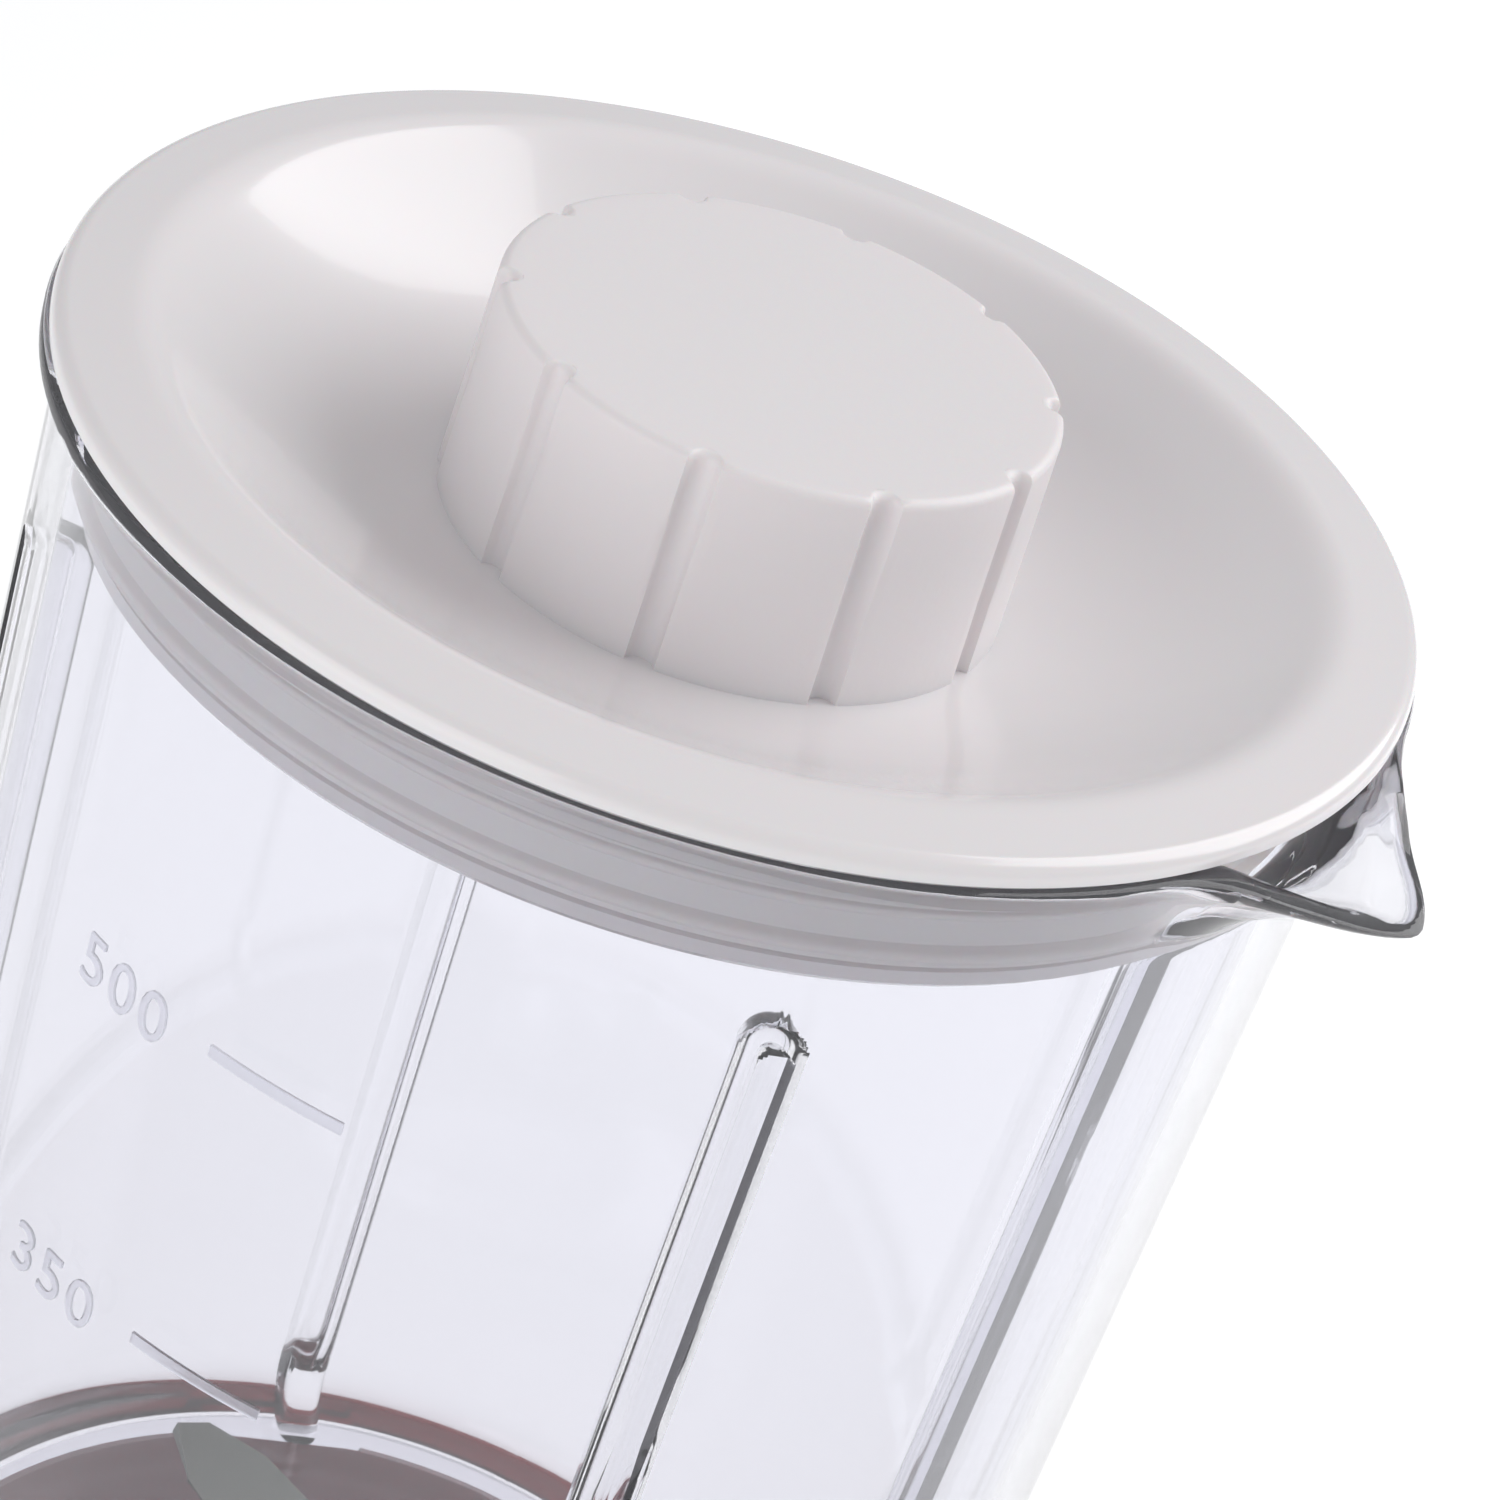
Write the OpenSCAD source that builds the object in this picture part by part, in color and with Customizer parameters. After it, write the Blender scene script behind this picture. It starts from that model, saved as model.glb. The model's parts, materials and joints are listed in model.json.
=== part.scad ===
// Compact countertop blender: clear jar with a pushed-in lid and filler cap, on a flared motor base.
// Millimetres. +Z is up, the origin is at the middle of the circle that the feet stand on.
// The pouring spout points along +X and the speed dial faces -Y.

/* [Lid] */
// Diameter of the lid's flange
lid_d = 96; // [84:1:116]
// Thickness of the lid's flange
flange_t = 1.8; // [1.6:0.1:3]
// Wall of the lid's dish and skirt
lid_wall = 1.8; // [1.4:0.1:2.2]
// Width of the flat ring between the flange's edge and the dish
ring_w = 6; // [5:0.5:8]
// Depth of the dish's middle below the jar's rim
dish_depth = 6.2; // [4:0.2:8]
// Depth of the lid's skirt below the jar's rim
skirt_h = 11; // [9.4:0.2:14]

/* [Filler cap] */
// Diameter of the cap at its foot
cap_d = 40.4; // [32:0.4:48]
// Height of the cap above the dish
cap_h = 15.7; // [12:0.1:20]
// Number of grip flutes
cap_flutes = 10; // [6:1:16]
// Width of a grip flute
flute_w = 2.6; // [1.6:0.1:3.6]
// Depth of the cap's neck below the dish
neck_h = 11; // [8:0.5:14]

/* [Jar] */
// Inside depth of the jar, from rim to floor
jar_depth = 124.8; // [100:0.4:155]
// Wall of the jar
jar_wall = 2.4; // [2:0.1:3]
// Narrowing of the jar's radius for each millimetre down
jar_taper = 0.019; // [0.01:0.001:0.03]
// Thickness of the jar's floor
floor_t = 3; // [2.4:0.1:4]
// Height of the jar's foot below its floor
foot_h = 16; // [14:0.5:20]
// Depth of the stirring ribs inside the wall
rib_depth = 3; // [2:0.1:4]
// Width of a stirring rib
rib_w = 4.6; // [3:0.1:6]
// Wall left between a rib and the channel pressed in behind it
rib_wall = 1.5; // [1.2:0.1:1.8]
// How far the spout reaches past the rim
spout_reach = 9.8; // [7:0.2:12]
// Height between two marks of the scale
mark_step = 25.1; // [18:0.1:30]

/* [Blades] */
// Diameter of the blade spindle
spindle_d = 7; // [6:0.2:8.4]
// Tip to tip length of a blade
blade_span = 46; // [38:1:58]
// Thickness of a blade
blade_t = 1.2; // [1:0.1:1.5]

/* [Base] */
// Diameter of the base at its foot
base_d = 128; // [118:1:156]
// Wall of the housing
base_wall = 2.6; // [2:0.1:3.2]
// Free height between the bottom cover and the motor shaft
under_gap = 13.2; // [8:0.2:24]
// Height of the rubber feet below the cover
pad_h = 4; // [3:0.5:6]

/* [Dial] */
// Diameter of the speed knob
knob_d = 32; // [26:1:38]
// Height of the speed knob
knob_h = 11; // [9:0.5:13]
// Upward tilt of the dial's axis, in degrees
dial_tilt = 9; // [4:1:14]

/* [Motor] */
// Height of the lamination stack
stack_h = 22; // [18:1:30]
// Diameter of the armature
armature_d = 29; // [26:0.5:31]
// Diameter of the motor shaft
shaft_d = 8; // [6:0.2:9.6]

/* [Hidden] */
$fn = 96;
eps = 0.01;
// Clearances: loose parts that lift off, parts screwed together, a running fit, and a seat without play
lift_gap = 0.4;
join_gap = 0.2;
run_gap = 0.03;
seat_gap = 0.01;

// ---- Heights of the base and the motor, from the table up ----
cover_bot = pad_h;
cover_t = 2.8;
cover_top = cover_bot + cover_t;
shaft_bot = cover_top + under_gap;
bearing_h = 7;
low_plate_bot = shaft_bot + 4.5;
plate_t = 2.5;
low_bearing_bot = low_plate_bot - 3;
comm_h = 12;
comm_bot = low_plate_bot + plate_t + 2.5;
winding_h = 6;
low_wind_bot = comm_bot + comm_h + 1;
stack_bot = low_wind_bot + winding_h + 0.5;
stack_top = stack_bot + stack_h;
fan_h = 5.6;
fan_bot = stack_top + winding_h + 2;
fan_top = fan_bot + fan_h;
up_bearing_bot = fan_top + 1.4;
up_plate_bot = up_bearing_bot + 3.6;
damper_h = 3.6;
post_bot = up_plate_bot + plate_t + damper_h;
well_floor_t = 3;
well_floor_bot = post_bot + 7;
well_floor_top = well_floor_bot + well_floor_t;
seat_z = well_floor_top + 4;

// ---- Heights of the jar and the lid ----
floor_bot = seat_z + foot_h;
floor_top = floor_bot + floor_t;
rim_z = floor_top + jar_depth;
dish_z = rim_z - dish_depth;
cap_top = dish_z + cap_h;
jar_h = rim_z - seat_z;

// ---- Radii of the lid and the jar ----
lid_r = lid_d / 2;
rim_r = lid_r + 0.4;
bead_h = 1.6;
bead_out = 1.6;
top_r = rim_r - bead_out;
crease_r = lid_r - ring_w;
function jar_out(z) = top_r - jar_taper * (rim_z - z);
function jar_in(z) = jar_out(z) - jar_wall;
foot_out = jar_out(seat_z);
foot_in = foot_out - jar_wall;
seal_t = 0.9;
skirt_out = jar_in(rim_z - skirt_h) - lift_gap - seal_t + 0.1;
skirt_in = skirt_out - lid_wall;

// ---- Filler cap ----
cap_r = cap_d / 2;
cap_draft = 0.45;
cap_wall = 1.8;
neck_r = cap_r - 2.6;
neck_in = neck_r - cap_wall;
hole_r = neck_r + lift_gap;
collar_h = 6;
dish_flat_r = cap_r + 1;
flute_turn = 3;

// ---- Stirring ribs, spout, scale and locating keys ----
rib_count = 4;
rib_turn = 45;
rib_top = rim_z - 14;
spout_tip_r = 3.8;
spout_half_w = 14.5;
spout_h = 7.6;
spout_dip = 2.9;
spout_tip_x = top_r + spout_reach - spout_tip_r + 0.4;
spout_wall = 1.8;
scale_zero = floor_top + 18.8;
mark_count = 3;
mark_w = 10.4;
mark_t = 0.9;
mark_turn = 8;
key_w = 13;
key_depth = 1.8;
key_h = 9;

// ---- Base housing: a flared bell, r_top at the seat and base_r at the foot ----
base_r = base_d / 2;
seat_rim_r = foot_out + 5;
house_top = seat_z - 3;
flare_bot = cover_bot + 5;
flare_power = 2.4;
function house_out(z) = z <= flare_bot ? base_r
    : seat_rim_r + (base_r - seat_rim_r) * pow(1 - (z - flare_bot) / (house_top - flare_bot), flare_power);
flare_steps = 14;
flare_zs = [for (i = [0 : flare_steps]) flare_bot + (house_top - flare_bot) * i / flare_steps];
ledge_top = seat_z - 10.4;
ledge_t = 2.6;
lip_t = 1.8;
lip_out = seat_rim_r - base_wall - join_gap;
ledge_r = lip_out - lip_t - 4.4;
seat_screw_r = lip_out - lip_t - 1.6;
seat_screw_turn = 22.5;
cover_r = base_r - base_wall - join_gap;

// ---- Boss under the jar, with the well that holds the coupling ----
boss_r = foot_in - 0.6;
boss_top = floor_bot - 2;
well_r = 17.5;
shell_t = 2.4;
motor_post_x = 14;
screw_r = 1.5;
screw_head_r = 3;

// ---- Cover screws, feet, cord inlet and vents ----
cover_post_turns = [20, 160, 200, 340];
cover_post_r = base_r - base_wall - 12;
post_rad = 4.2;
post_h = 22;
pad_r = 8;
pad_ring_r = base_r - base_wall - 11;
inlet_z = cover_top + 15;
inlet_bore_r = 3.6;
inlet_body_r = 6;
inlet_flange_r = 8.2;
inlet_face_y = house_out(inlet_z) - 4.2;
inlet_l = 12;
inlet_flange_t = 2.2;

// ---- Dial ----
plate_r = knob_d / 2 + 5;
dial_z = cover_bot + 48;
dial_y = sqrt(pow(house_out(dial_z), 2) - pow(plate_r, 2));
face_t = 1.6;
pocket_t = 2.4;
bush_r = 4.5;
dial_shaft_r = 3;
nut_t = 2;
switch_l = 12;
knob_bot = face_t + 0.5;
knob_r = knob_d / 2;

// ---- Motor ----
core_w = 60;
core_d = 50;
armature_r = armature_d / 2;
bore_r = armature_r + 0.6;
shaft_r = shaft_d / 2;
bearing_r = shaft_r + 3.6;
shoe_r = bore_r + 3.6;
bolt_x = core_w / 2 - 4.5;
bolt_y = core_d / 2 - 4.5;
bolt_r = 1.8;
motor_post_y = core_d / 2 - 6;
comm_r = max(8.6, shaft_r + 3.4);
fan_r = 22;

// ---- Coupling ----
drive_bot = well_floor_top + 1;
drive_disc_t = 3;
drive_top = drive_bot + drive_disc_t;
lug_h = 6;
coupling_r = 12.5;
lug_in = 7.5;
lug_w = 6;
fin_w = 4;
driven_bot = drive_top + 0.8;
driven_top = floor_bot - 6;

// ---- Blade holder and spindle ----
spindle_r = spindle_d / 2;
bush_out = spindle_r + 2.5;
stem_r = bush_out + 2.2;
flange_r = stem_r + 6.8;
gasket_t = 1;
holder_bot = floor_bot - 5.2;
flange_bot = floor_top + gasket_t;
holder_flange_t = 2.4;
holder_top = flange_bot + 9;
nut_h = 4.4;
bush_h = 6;
shoulder_bot = holder_top + 0.6;
blade_z = shoulder_bot + 1.2;
blade_top = blade_z + 2 * blade_t;
hub_r = 6.5;
stub_r = spindle_r - 0.7;
lower_turn = 85;
upper_turn = 175;
lower_tilt = -10;
upper_tilt = 14;

// ---- Colours ----
white_plastic = [0.93, 0.92, 0.93];
clear_plastic = [0.85, 0.88, 0.92, 0.35];
red_plastic = [0.50, 0.03, 0.04];
dark_plastic = [0.09, 0.09, 0.10];
rubber = [0.12, 0.12, 0.13];
silicone = [0.90, 0.90, 0.92];
steel = [0.72, 0.73, 0.75];
zinc = [0.62, 0.63, 0.65];
bronze = [0.66, 0.48, 0.25];
copper = [0.72, 0.38, 0.20];
laminate = [0.38, 0.39, 0.42];

// ---------------------------------------------------------------- helpers
module tube(outer, inner, h) {
    difference() {
        cylinder(r = outer, h = h);
        translate([0, 0, -1]) cylinder(r = inner, h = h + 2);
    }
}

module rounded_plate(w, d, corner, h) {
    linear_extrude(h) union() {
        square([w - 2 * corner, d], center = true);
        square([w, d - 2 * corner], center = true);
        for (x = [-1, 1], y = [-1, 1])
            translate([x * (w / 2 - corner), y * (d / 2 - corner)]) circle(r = corner);
    }
}

module around(count, turn = 0) {
    for (i = [0 : count - 1]) rotate(turn + i * 360 / count) children();
}

module at_motor_posts() {
    for (x = [-1, 1], y = [-1, 1]) translate([x * motor_post_x, y * motor_post_y, 0]) children();
}

module pan_screw(shank_r, length, head_r, head_t) {
    translate([0, 0, -head_t / 4]) cylinder(r = shank_r, h = length + head_t / 4);
    translate([0, 0, -head_t]) difference() {
        cylinder(r = head_r, h = head_t);
        for (a = [0, 90]) rotate(a)
            translate([-head_r * 0.6, -0.4, -eps]) cube([head_r * 1.2, 0.8, head_t / 2]);
    }
}

// A quarter round, from angle a0 to a1, about [cx, cy]
function arc(cx, cy, r, a0, a1, steps = 6) = [for (i = [0 : steps]) let (a = a0 + (a1 - a0) * i / steps)
    [cx + r * cos(a), cy + r * sin(a)]];

// ---------------------------------------------------------------- lid
dish_steps = 12;
dish_power = 1.7;
crease_z = flange_t + 1;
function dish_curve(drop) = [for (i = [0 : dish_steps]) let (t = i / dish_steps)
    [dish_flat_r + (crease_r - dish_flat_r) * t,
     -dish_depth + (dish_depth + crease_z) * pow(t, dish_power) - drop]];

module lid() {
    edge_round = min(1.5, flange_t - 0.3);
    top_side = concat([[hole_r, -dish_depth]], dish_curve(0),
                      arc(lid_r - edge_round, flange_t - edge_round, edge_round, 90, 0));
    skirt_side = [[lid_r, 0], [skirt_out, 0], [skirt_out, -2.2], [skirt_out - 0.7, -2.6],
                  [skirt_out - 0.7, -9], [skirt_out, -9.4], [skirt_out, -skirt_h + 0.6],
                  [skirt_out - 0.6, -skirt_h], [skirt_in, -skirt_h], [skirt_in, -lid_wall]];
    under = dish_curve(lid_wall);
    inner_side = [for (i = [dish_steps : -1 : 0]) if (under[i][0] < skirt_in - 0.6) under[i]];
    collar_side = [[hole_r + lid_wall, -dish_depth - lid_wall], [hole_r + lid_wall, -dish_depth - collar_h],
                   [hole_r, -dish_depth - collar_h]];
    color(white_plastic) translate([0, 0, rim_z])
        rotate_extrude() polygon(concat(top_side, skirt_side, inner_side, collar_side));
}

module lid_seal() {
    seal_in = skirt_out - 0.7 + seat_gap;
    lip_r = jar_in(rim_z - 7) - lift_gap;
    body_r = lip_r - seal_t * 0.6;
    color(silicone) translate([0, 0, rim_z])
        rotate_extrude() polygon([[seal_in, -2.8], [body_r, -2.8], [body_r, -3.6], [lip_r, -4], [lip_r, -4.5],
                                  [body_r, -4.9], [body_r, -6.9], [lip_r, -7.4], [lip_r, -8], [body_r, -8.4],
                                  [body_r, -8.8], [seal_in, -8.8]]);
}

// ---------------------------------------------------------------- filler cap
module filler_cap() {
    top_r_cap = cap_r - cap_draft;
    color(white_plastic) translate([0, 0, dish_z]) difference() {
        union() {
            rotate_extrude() polygon(concat(
                [[0, cap_h]], arc(top_r_cap - 0.6, cap_h - 0.6, 0.6, 90, 0, 3),
                [[cap_r, seat_gap], [neck_r, seat_gap], [neck_r, -neck_h], [neck_in, -neck_h],
                 [neck_in, cap_h - 2 - 3], [neck_in - 3, cap_h - 2], [0, cap_h - 2]]));
        }
        around(cap_flutes, flute_turn)
            translate([cap_r + flute_w * 0.28, 0, -1]) cylinder(d = flute_w, h = cap_h + 2);
    }
}

// ---------------------------------------------------------------- jar
spout_root_x = top_r * cos(18);

// Plan of the spout: straight flanks that run tangent into the round tip
module spout_plan(inset) {
    r = spout_tip_r - inset;
    w = spout_half_w - inset;
    dx = spout_tip_x - spout_root_x;
    dist = sqrt(dx * dx + w * w);
    lean = atan2(w, dx) - asin(r / dist);
    tx = spout_tip_x + r * sin(lean);
    ty = r * cos(lean);
    union() {
        translate([spout_tip_x, 0]) circle(r = r);
        polygon([[spout_root_x - 4, -w], [spout_root_x, -w], [tx, -ty], [tx, ty], [spout_root_x, w],
                 [spout_root_x - 4, w]]);
    }
}

module spout_body() {
    slope = atan2(spout_h - spout_dip - 2.4, spout_reach);
    difference() {
        translate([0, 0, rim_z - spout_h]) linear_extrude(spout_h) spout_plan(0);
        // sloping underside
        translate([spout_root_x - 2, -30, rim_z - spout_h]) rotate([0, -slope, 0])
            translate([0, 0, -20]) cube([40, 60, 20]);
        jar_space();
    }
}

module spout_lip_cut() {
    dip = atan2(spout_dip, spout_reach + 0.4);
    translate([top_r, -30, rim_z]) rotate([0, dip, 0]) cube([40, 60, 20]);
}

module spout_channel() {
    slope = atan2(spout_h - spout_dip - 2.4, spout_reach);
    difference() {
        translate([0, 0, rim_z - spout_h + 2]) linear_extrude(spout_h) spout_plan(spout_wall);
        translate([spout_root_x - 2, -30, rim_z - spout_h + spout_wall]) rotate([0, -slope, 0])
            translate([0, 0, -20]) cube([40, 60, 20]);
    }
}

// Free space inside the jar, from its floor up past the rim
module jar_space() {
    fillet = 4;
    floor_in = jar_in(floor_top + fillet);
    rotate_extrude() polygon(concat(
        [[0, rim_z + 5], [jar_in(rim_z), rim_z + 5]],
        arc(floor_in - fillet, floor_top + fillet, fillet, 0, -90),
        [[0, floor_top]]));
}

module jar_ribs() {
    half = rib_w / 2;
    around(rib_count, rib_turn) intersection() {
        union() {
            translate([jar_in(floor_top) - rib_depth - 6, -half, floor_top - 1])
                cube([rib_depth + 14, rib_w, rib_top - half - floor_top + 1]);
            translate([jar_in(floor_top) - rib_depth - 6, 0, rib_top - half]) rotate([0, 90, 0])
                cylinder(r = half, h = rib_depth + 14);
        }
        rotate_extrude()
            polygon([[jar_in(floor_top) + 1, floor_top - 1], [jar_in(floor_top) - rib_depth, floor_top - 1],
                     [jar_in(rib_top) - rib_depth, rib_top], [jar_in(rib_top) + 1, rib_top]]);
    }
}

// The outside channel behind each rib, with the same round upper end
module rib_channels() {
    half = rib_w / 2 - rib_wall + 0.4;
    deep = rib_depth + jar_wall - rib_wall;
    low = floor_top + 2;
    around(rib_count, rib_turn) intersection() {
        union() {
            translate([jar_out(low) - deep - 1, -half, low])
                cube([deep + 6, 2 * half, rib_top - rib_w / 2 - low]);
            translate([jar_out(low) - deep - 1, 0, rib_top - rib_w / 2]) rotate([0, 90, 0])
                cylinder(r = half, h = deep + 6);
        }
        rotate_extrude() polygon([[jar_out(low) + 3, low - 1], [jar_out(low - 1) - deep, low - 1],
                                  [jar_out(rib_top) - deep, rib_top], [jar_out(rib_top) + 3, rib_top]]);
    }
}

module jar_marks() {
    for (i = [0 : mark_count - 1]) {
        z = scale_zero + (i + 1) * mark_step;
        rotate(-90 + mark_turn)
            translate([jar_out(z) - 1, -mark_w / 2, z - mark_t / 2]) cube([1.4, mark_w, mark_t]);
    }
}

module jar() {
    color(clear_plastic) difference() {
        union() {
            difference() {
                rotate_extrude()
                    polygon([[0, floor_bot], [foot_in, floor_bot], [foot_in, seat_z], [foot_out, seat_z],
                             [jar_out(rim_z - bead_h), rim_z - bead_h], [rim_r, rim_z - bead_h + 0.5],
                             [rim_r, rim_z - 0.4], [rim_r - 0.4, rim_z], [0, rim_z]]);
                jar_space();
            }
            jar_ribs();
            jar_marks();
            spout_body();
            around(rib_count, rib_turn) intersection() {
                translate([foot_in - key_depth, -key_w / 2, seat_z]) cube([key_depth + 1, key_w, key_h]);
                cylinder(r = foot_in + 0.5, h = rim_z);
            }
        }
        rib_channels();
        spout_channel();
        spout_lip_cut();
        translate([0, 0, floor_bot - 1]) cylinder(r = stem_r + join_gap, h = floor_t + 2);
    }
}

// ---------------------------------------------------------------- blade holder
module blade_holder() {
    color(zinc) difference() {
        rotate_extrude()
            polygon([[0, holder_bot], [stem_r, holder_bot], [stem_r, flange_bot], [flange_r, flange_bot],
                     [flange_r, flange_bot + holder_flange_t - 1],
                     [flange_r - 1, flange_bot + holder_flange_t],
                     [bush_out + 3, flange_bot + holder_flange_t], [bush_out + 1.8, holder_top],
                     [0, holder_top]]);
        translate([0, 0, holder_bot - 1]) cylinder(r = bush_out + seat_gap, h = holder_top - holder_bot + 2);
    }
}

module holder_gasket() {
    color(rubber) translate([0, 0, floor_top]) tube(flange_r - 0.4, stem_r + join_gap, gasket_t);
}

module holder_nut() {
    nut_af = 2 * stem_r + 8;
    color(steel) translate([0, 0, floor_bot - nut_h]) difference() {
        cylinder(d = nut_af / cos(30), h = nut_h, $fn = 6);
        translate([0, 0, -1]) cylinder(r = stem_r + seat_gap, h = nut_h + 2);
    }
}

module spindle_bushes() {
    color(bronze) {
        translate([0, 0, holder_bot + 0.4]) tube(bush_out, spindle_r + run_gap, bush_h);
        translate([0, 0, flange_bot]) tube(bush_out, spindle_r + run_gap, bush_h);
    }
}

module spindle_seal() {
    color(rubber) translate([0, 0, flange_bot + bush_h + 0.2])
        tube(bush_out, spindle_r + run_gap, holder_top - flange_bot - bush_h - 0.4);
}

// ---------------------------------------------------------------- blade set
module blade_spindle() {
    spindle_bot = driven_bot + 3;
    color(steel) {
        translate([0, 0, spindle_bot]) cylinder(r = spindle_r, h = shoulder_bot - spindle_bot + eps);
        translate([0, 0, shoulder_bot]) cylinder(r = spindle_r + 1.5, h = blade_z - shoulder_bot);
        translate([0, 0, blade_z - eps]) cylinder(r = stub_r, h = blade_top - blade_z + 4.5);
    }
}

// One wing: a tapered plate with a raked tip and a ground leading edge
module wing(tilt) {
    wing_l = blade_span / 2;
    translate([hub_r - 1.2, 0, tilt < 0 ? blade_t : 0]) rotate([0, -tilt, 0])
        translate([0, 0, tilt < 0 ? -blade_t : 0])
    difference() {
        linear_extrude(blade_t) polygon([[0, -5], [wing_l * 0.5, -3.4], [wing_l - hub_r - 0.2, -0.8],
                                         [wing_l - hub_r + 1, 1.8], [wing_l * 0.55, 4.4], [0, 5]]);
        // ground edge
        translate([-4, 4.9, 0]) rotate([-58, 0, -8]) translate([0, 0, -2]) cube([wing_l + 8, 6, 4]);
    }
}

module blade(turn, tilt) {
    rotate(turn) difference() {
        union() {
            cylinder(r = hub_r, h = blade_t);
            around(2) wing(tilt);
        }
        translate([0, 0, -1]) cylinder(r = stub_r + seat_gap, h = blade_t + 2);
    }
}

module lower_blade() { color(steel) translate([0, 0, blade_z]) blade(lower_turn, lower_tilt); }

module upper_blade() { color(steel) translate([0, 0, blade_z + blade_t]) blade(upper_turn, upper_tilt); }

module blade_nut() {
    color(steel) translate([0, 0, blade_top]) difference() {
        union() {
            cylinder(r = 4.4, h = 1);
            cylinder(d = 8 / cos(30), h = 4, $fn = 6);
            intersection() {
                translate([0, 0, 2.2]) sphere(r = 4.3);
                cylinder(r = 3.9, h = 10);
            }
        }
        translate([0, 0, -1]) cylinder(r = stub_r + seat_gap, h = 5.7);
    }
}

module driven_coupling() {
    color(dark_plastic) difference() {
        union() {
            translate([0, 0, driven_bot]) cylinder(r = lug_in - 0.9, h = driven_top - driven_bot);
            around(4, 45) translate([0, -fin_w / 2, driven_bot]) cube([coupling_r - 0.5, fin_w, lug_h - 1]);
        }
        translate([0, 0, driven_bot + 3 - seat_gap]) cylinder(r = spindle_r + seat_gap, h = driven_top);
    }
}

module drive_coupling() {
    color(dark_plastic) difference() {
        union() {
            translate([0, 0, drive_bot]) cylinder(r = coupling_r, h = drive_disc_t);
            intersection() {
                translate([0, 0, drive_top - eps]) tube(coupling_r - 0.3, lug_in, lug_h);
                around(4) translate([0, -lug_w / 2, drive_bot]) cube([2 * coupling_r, lug_w, 2 * lug_h]);
            }
        }
        translate([0, 0, drive_bot - 1]) cylinder(r = shaft_r + seat_gap, h = drive_disc_t);
    }
}

// ---------------------------------------------------------------- base shells
module house_solid(inset) {
    rotate_extrude() polygon(concat(
        [[0, cover_bot + 0.6], [base_r - inset - 0.8, cover_bot + 0.6], [base_r - inset, cover_bot + 1.4]],
        [for (z = flare_zs) [house_out(z) - inset, z]],
        [[0, house_top]]));
}

// Local +Z runs out of the dial's face, local +Y runs up it
function dial_point(p) = let (a = 90 - dial_tilt)
    [p[0], -dial_y + p[1] * cos(a) - p[2] * sin(a), dial_z + p[1] * sin(a) + p[2] * cos(a)];
module at_dial() { translate([0, -dial_y, dial_z]) rotate([90 - dial_tilt, 0, 0]) children(); }

module cover_posts() {
    for (a = cover_post_turns) rotate(a) {
        translate([cover_post_r, 0, cover_top + seat_gap]) cylinder(r = post_rad, h = post_h);
        translate([cover_post_r, -1.2, cover_top + 6]) cube([base_r, 2.4, post_h - 6]);
    }
}

module base_housing() {
    vent_w = 2.4;
    vent_gap = 6.2;
    vent_h = 30;
    color(red_plastic) difference() {
        union() {
            difference() {
                house_solid(0);
                rotate_extrude() polygon(concat(
                    [[0, -1], [base_r - base_wall, -1], [base_r - base_wall, flare_bot]],
                    [for (z = flare_zs) [house_out(z) - base_wall, z]],
                    [[seat_rim_r - base_wall, house_top + 1], [0, house_top + 1]]));
            }
            intersection() {
                house_solid(0.8);
                union() {
                    translate([0, 0, ledge_top - ledge_t]) tube(base_r, ledge_r, ledge_t);
                    cover_posts();
                    at_dial() translate([0, 0, -pocket_t]) cylinder(r = plate_r + pocket_t, h = 40);
                    translate([0, inlet_face_y - 4, inlet_z]) rotate([-90, 0, 0])
                        cylinder(r = inlet_flange_r + 2.2, h = 30);
                }
            }
        }
        // dial pocket, switch neck, inlet and vents
        at_dial() {
            cylinder(r = plate_r + join_gap, h = 60);
            translate([0, 0, -10]) cylinder(r = bush_r + join_gap, h = 20);
        }
        translate([0, inlet_face_y, inlet_z]) rotate([-90, 0, 0])
            cylinder(r = inlet_flange_r + join_gap, h = 40);
        translate([0, 20, inlet_z]) rotate([-90, 0, 0]) cylinder(r = inlet_body_r + join_gap, h = 60);
        for (i = [-3 : 3])
            translate([i * vent_gap - vent_w / 2, 20, inlet_z + 22]) cube([vent_w, 80, vent_h]);
        for (a = cover_post_turns) rotate(a)
            translate([cover_post_r, 0, 0]) cylinder(r = screw_r - 0.2, h = cover_top + post_h - 4);
        around(4, seat_screw_turn)
            translate([seat_screw_r, 0, ledge_top - 10]) cylinder(r = screw_r + 0.2, h = 20);
    }
}

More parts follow.
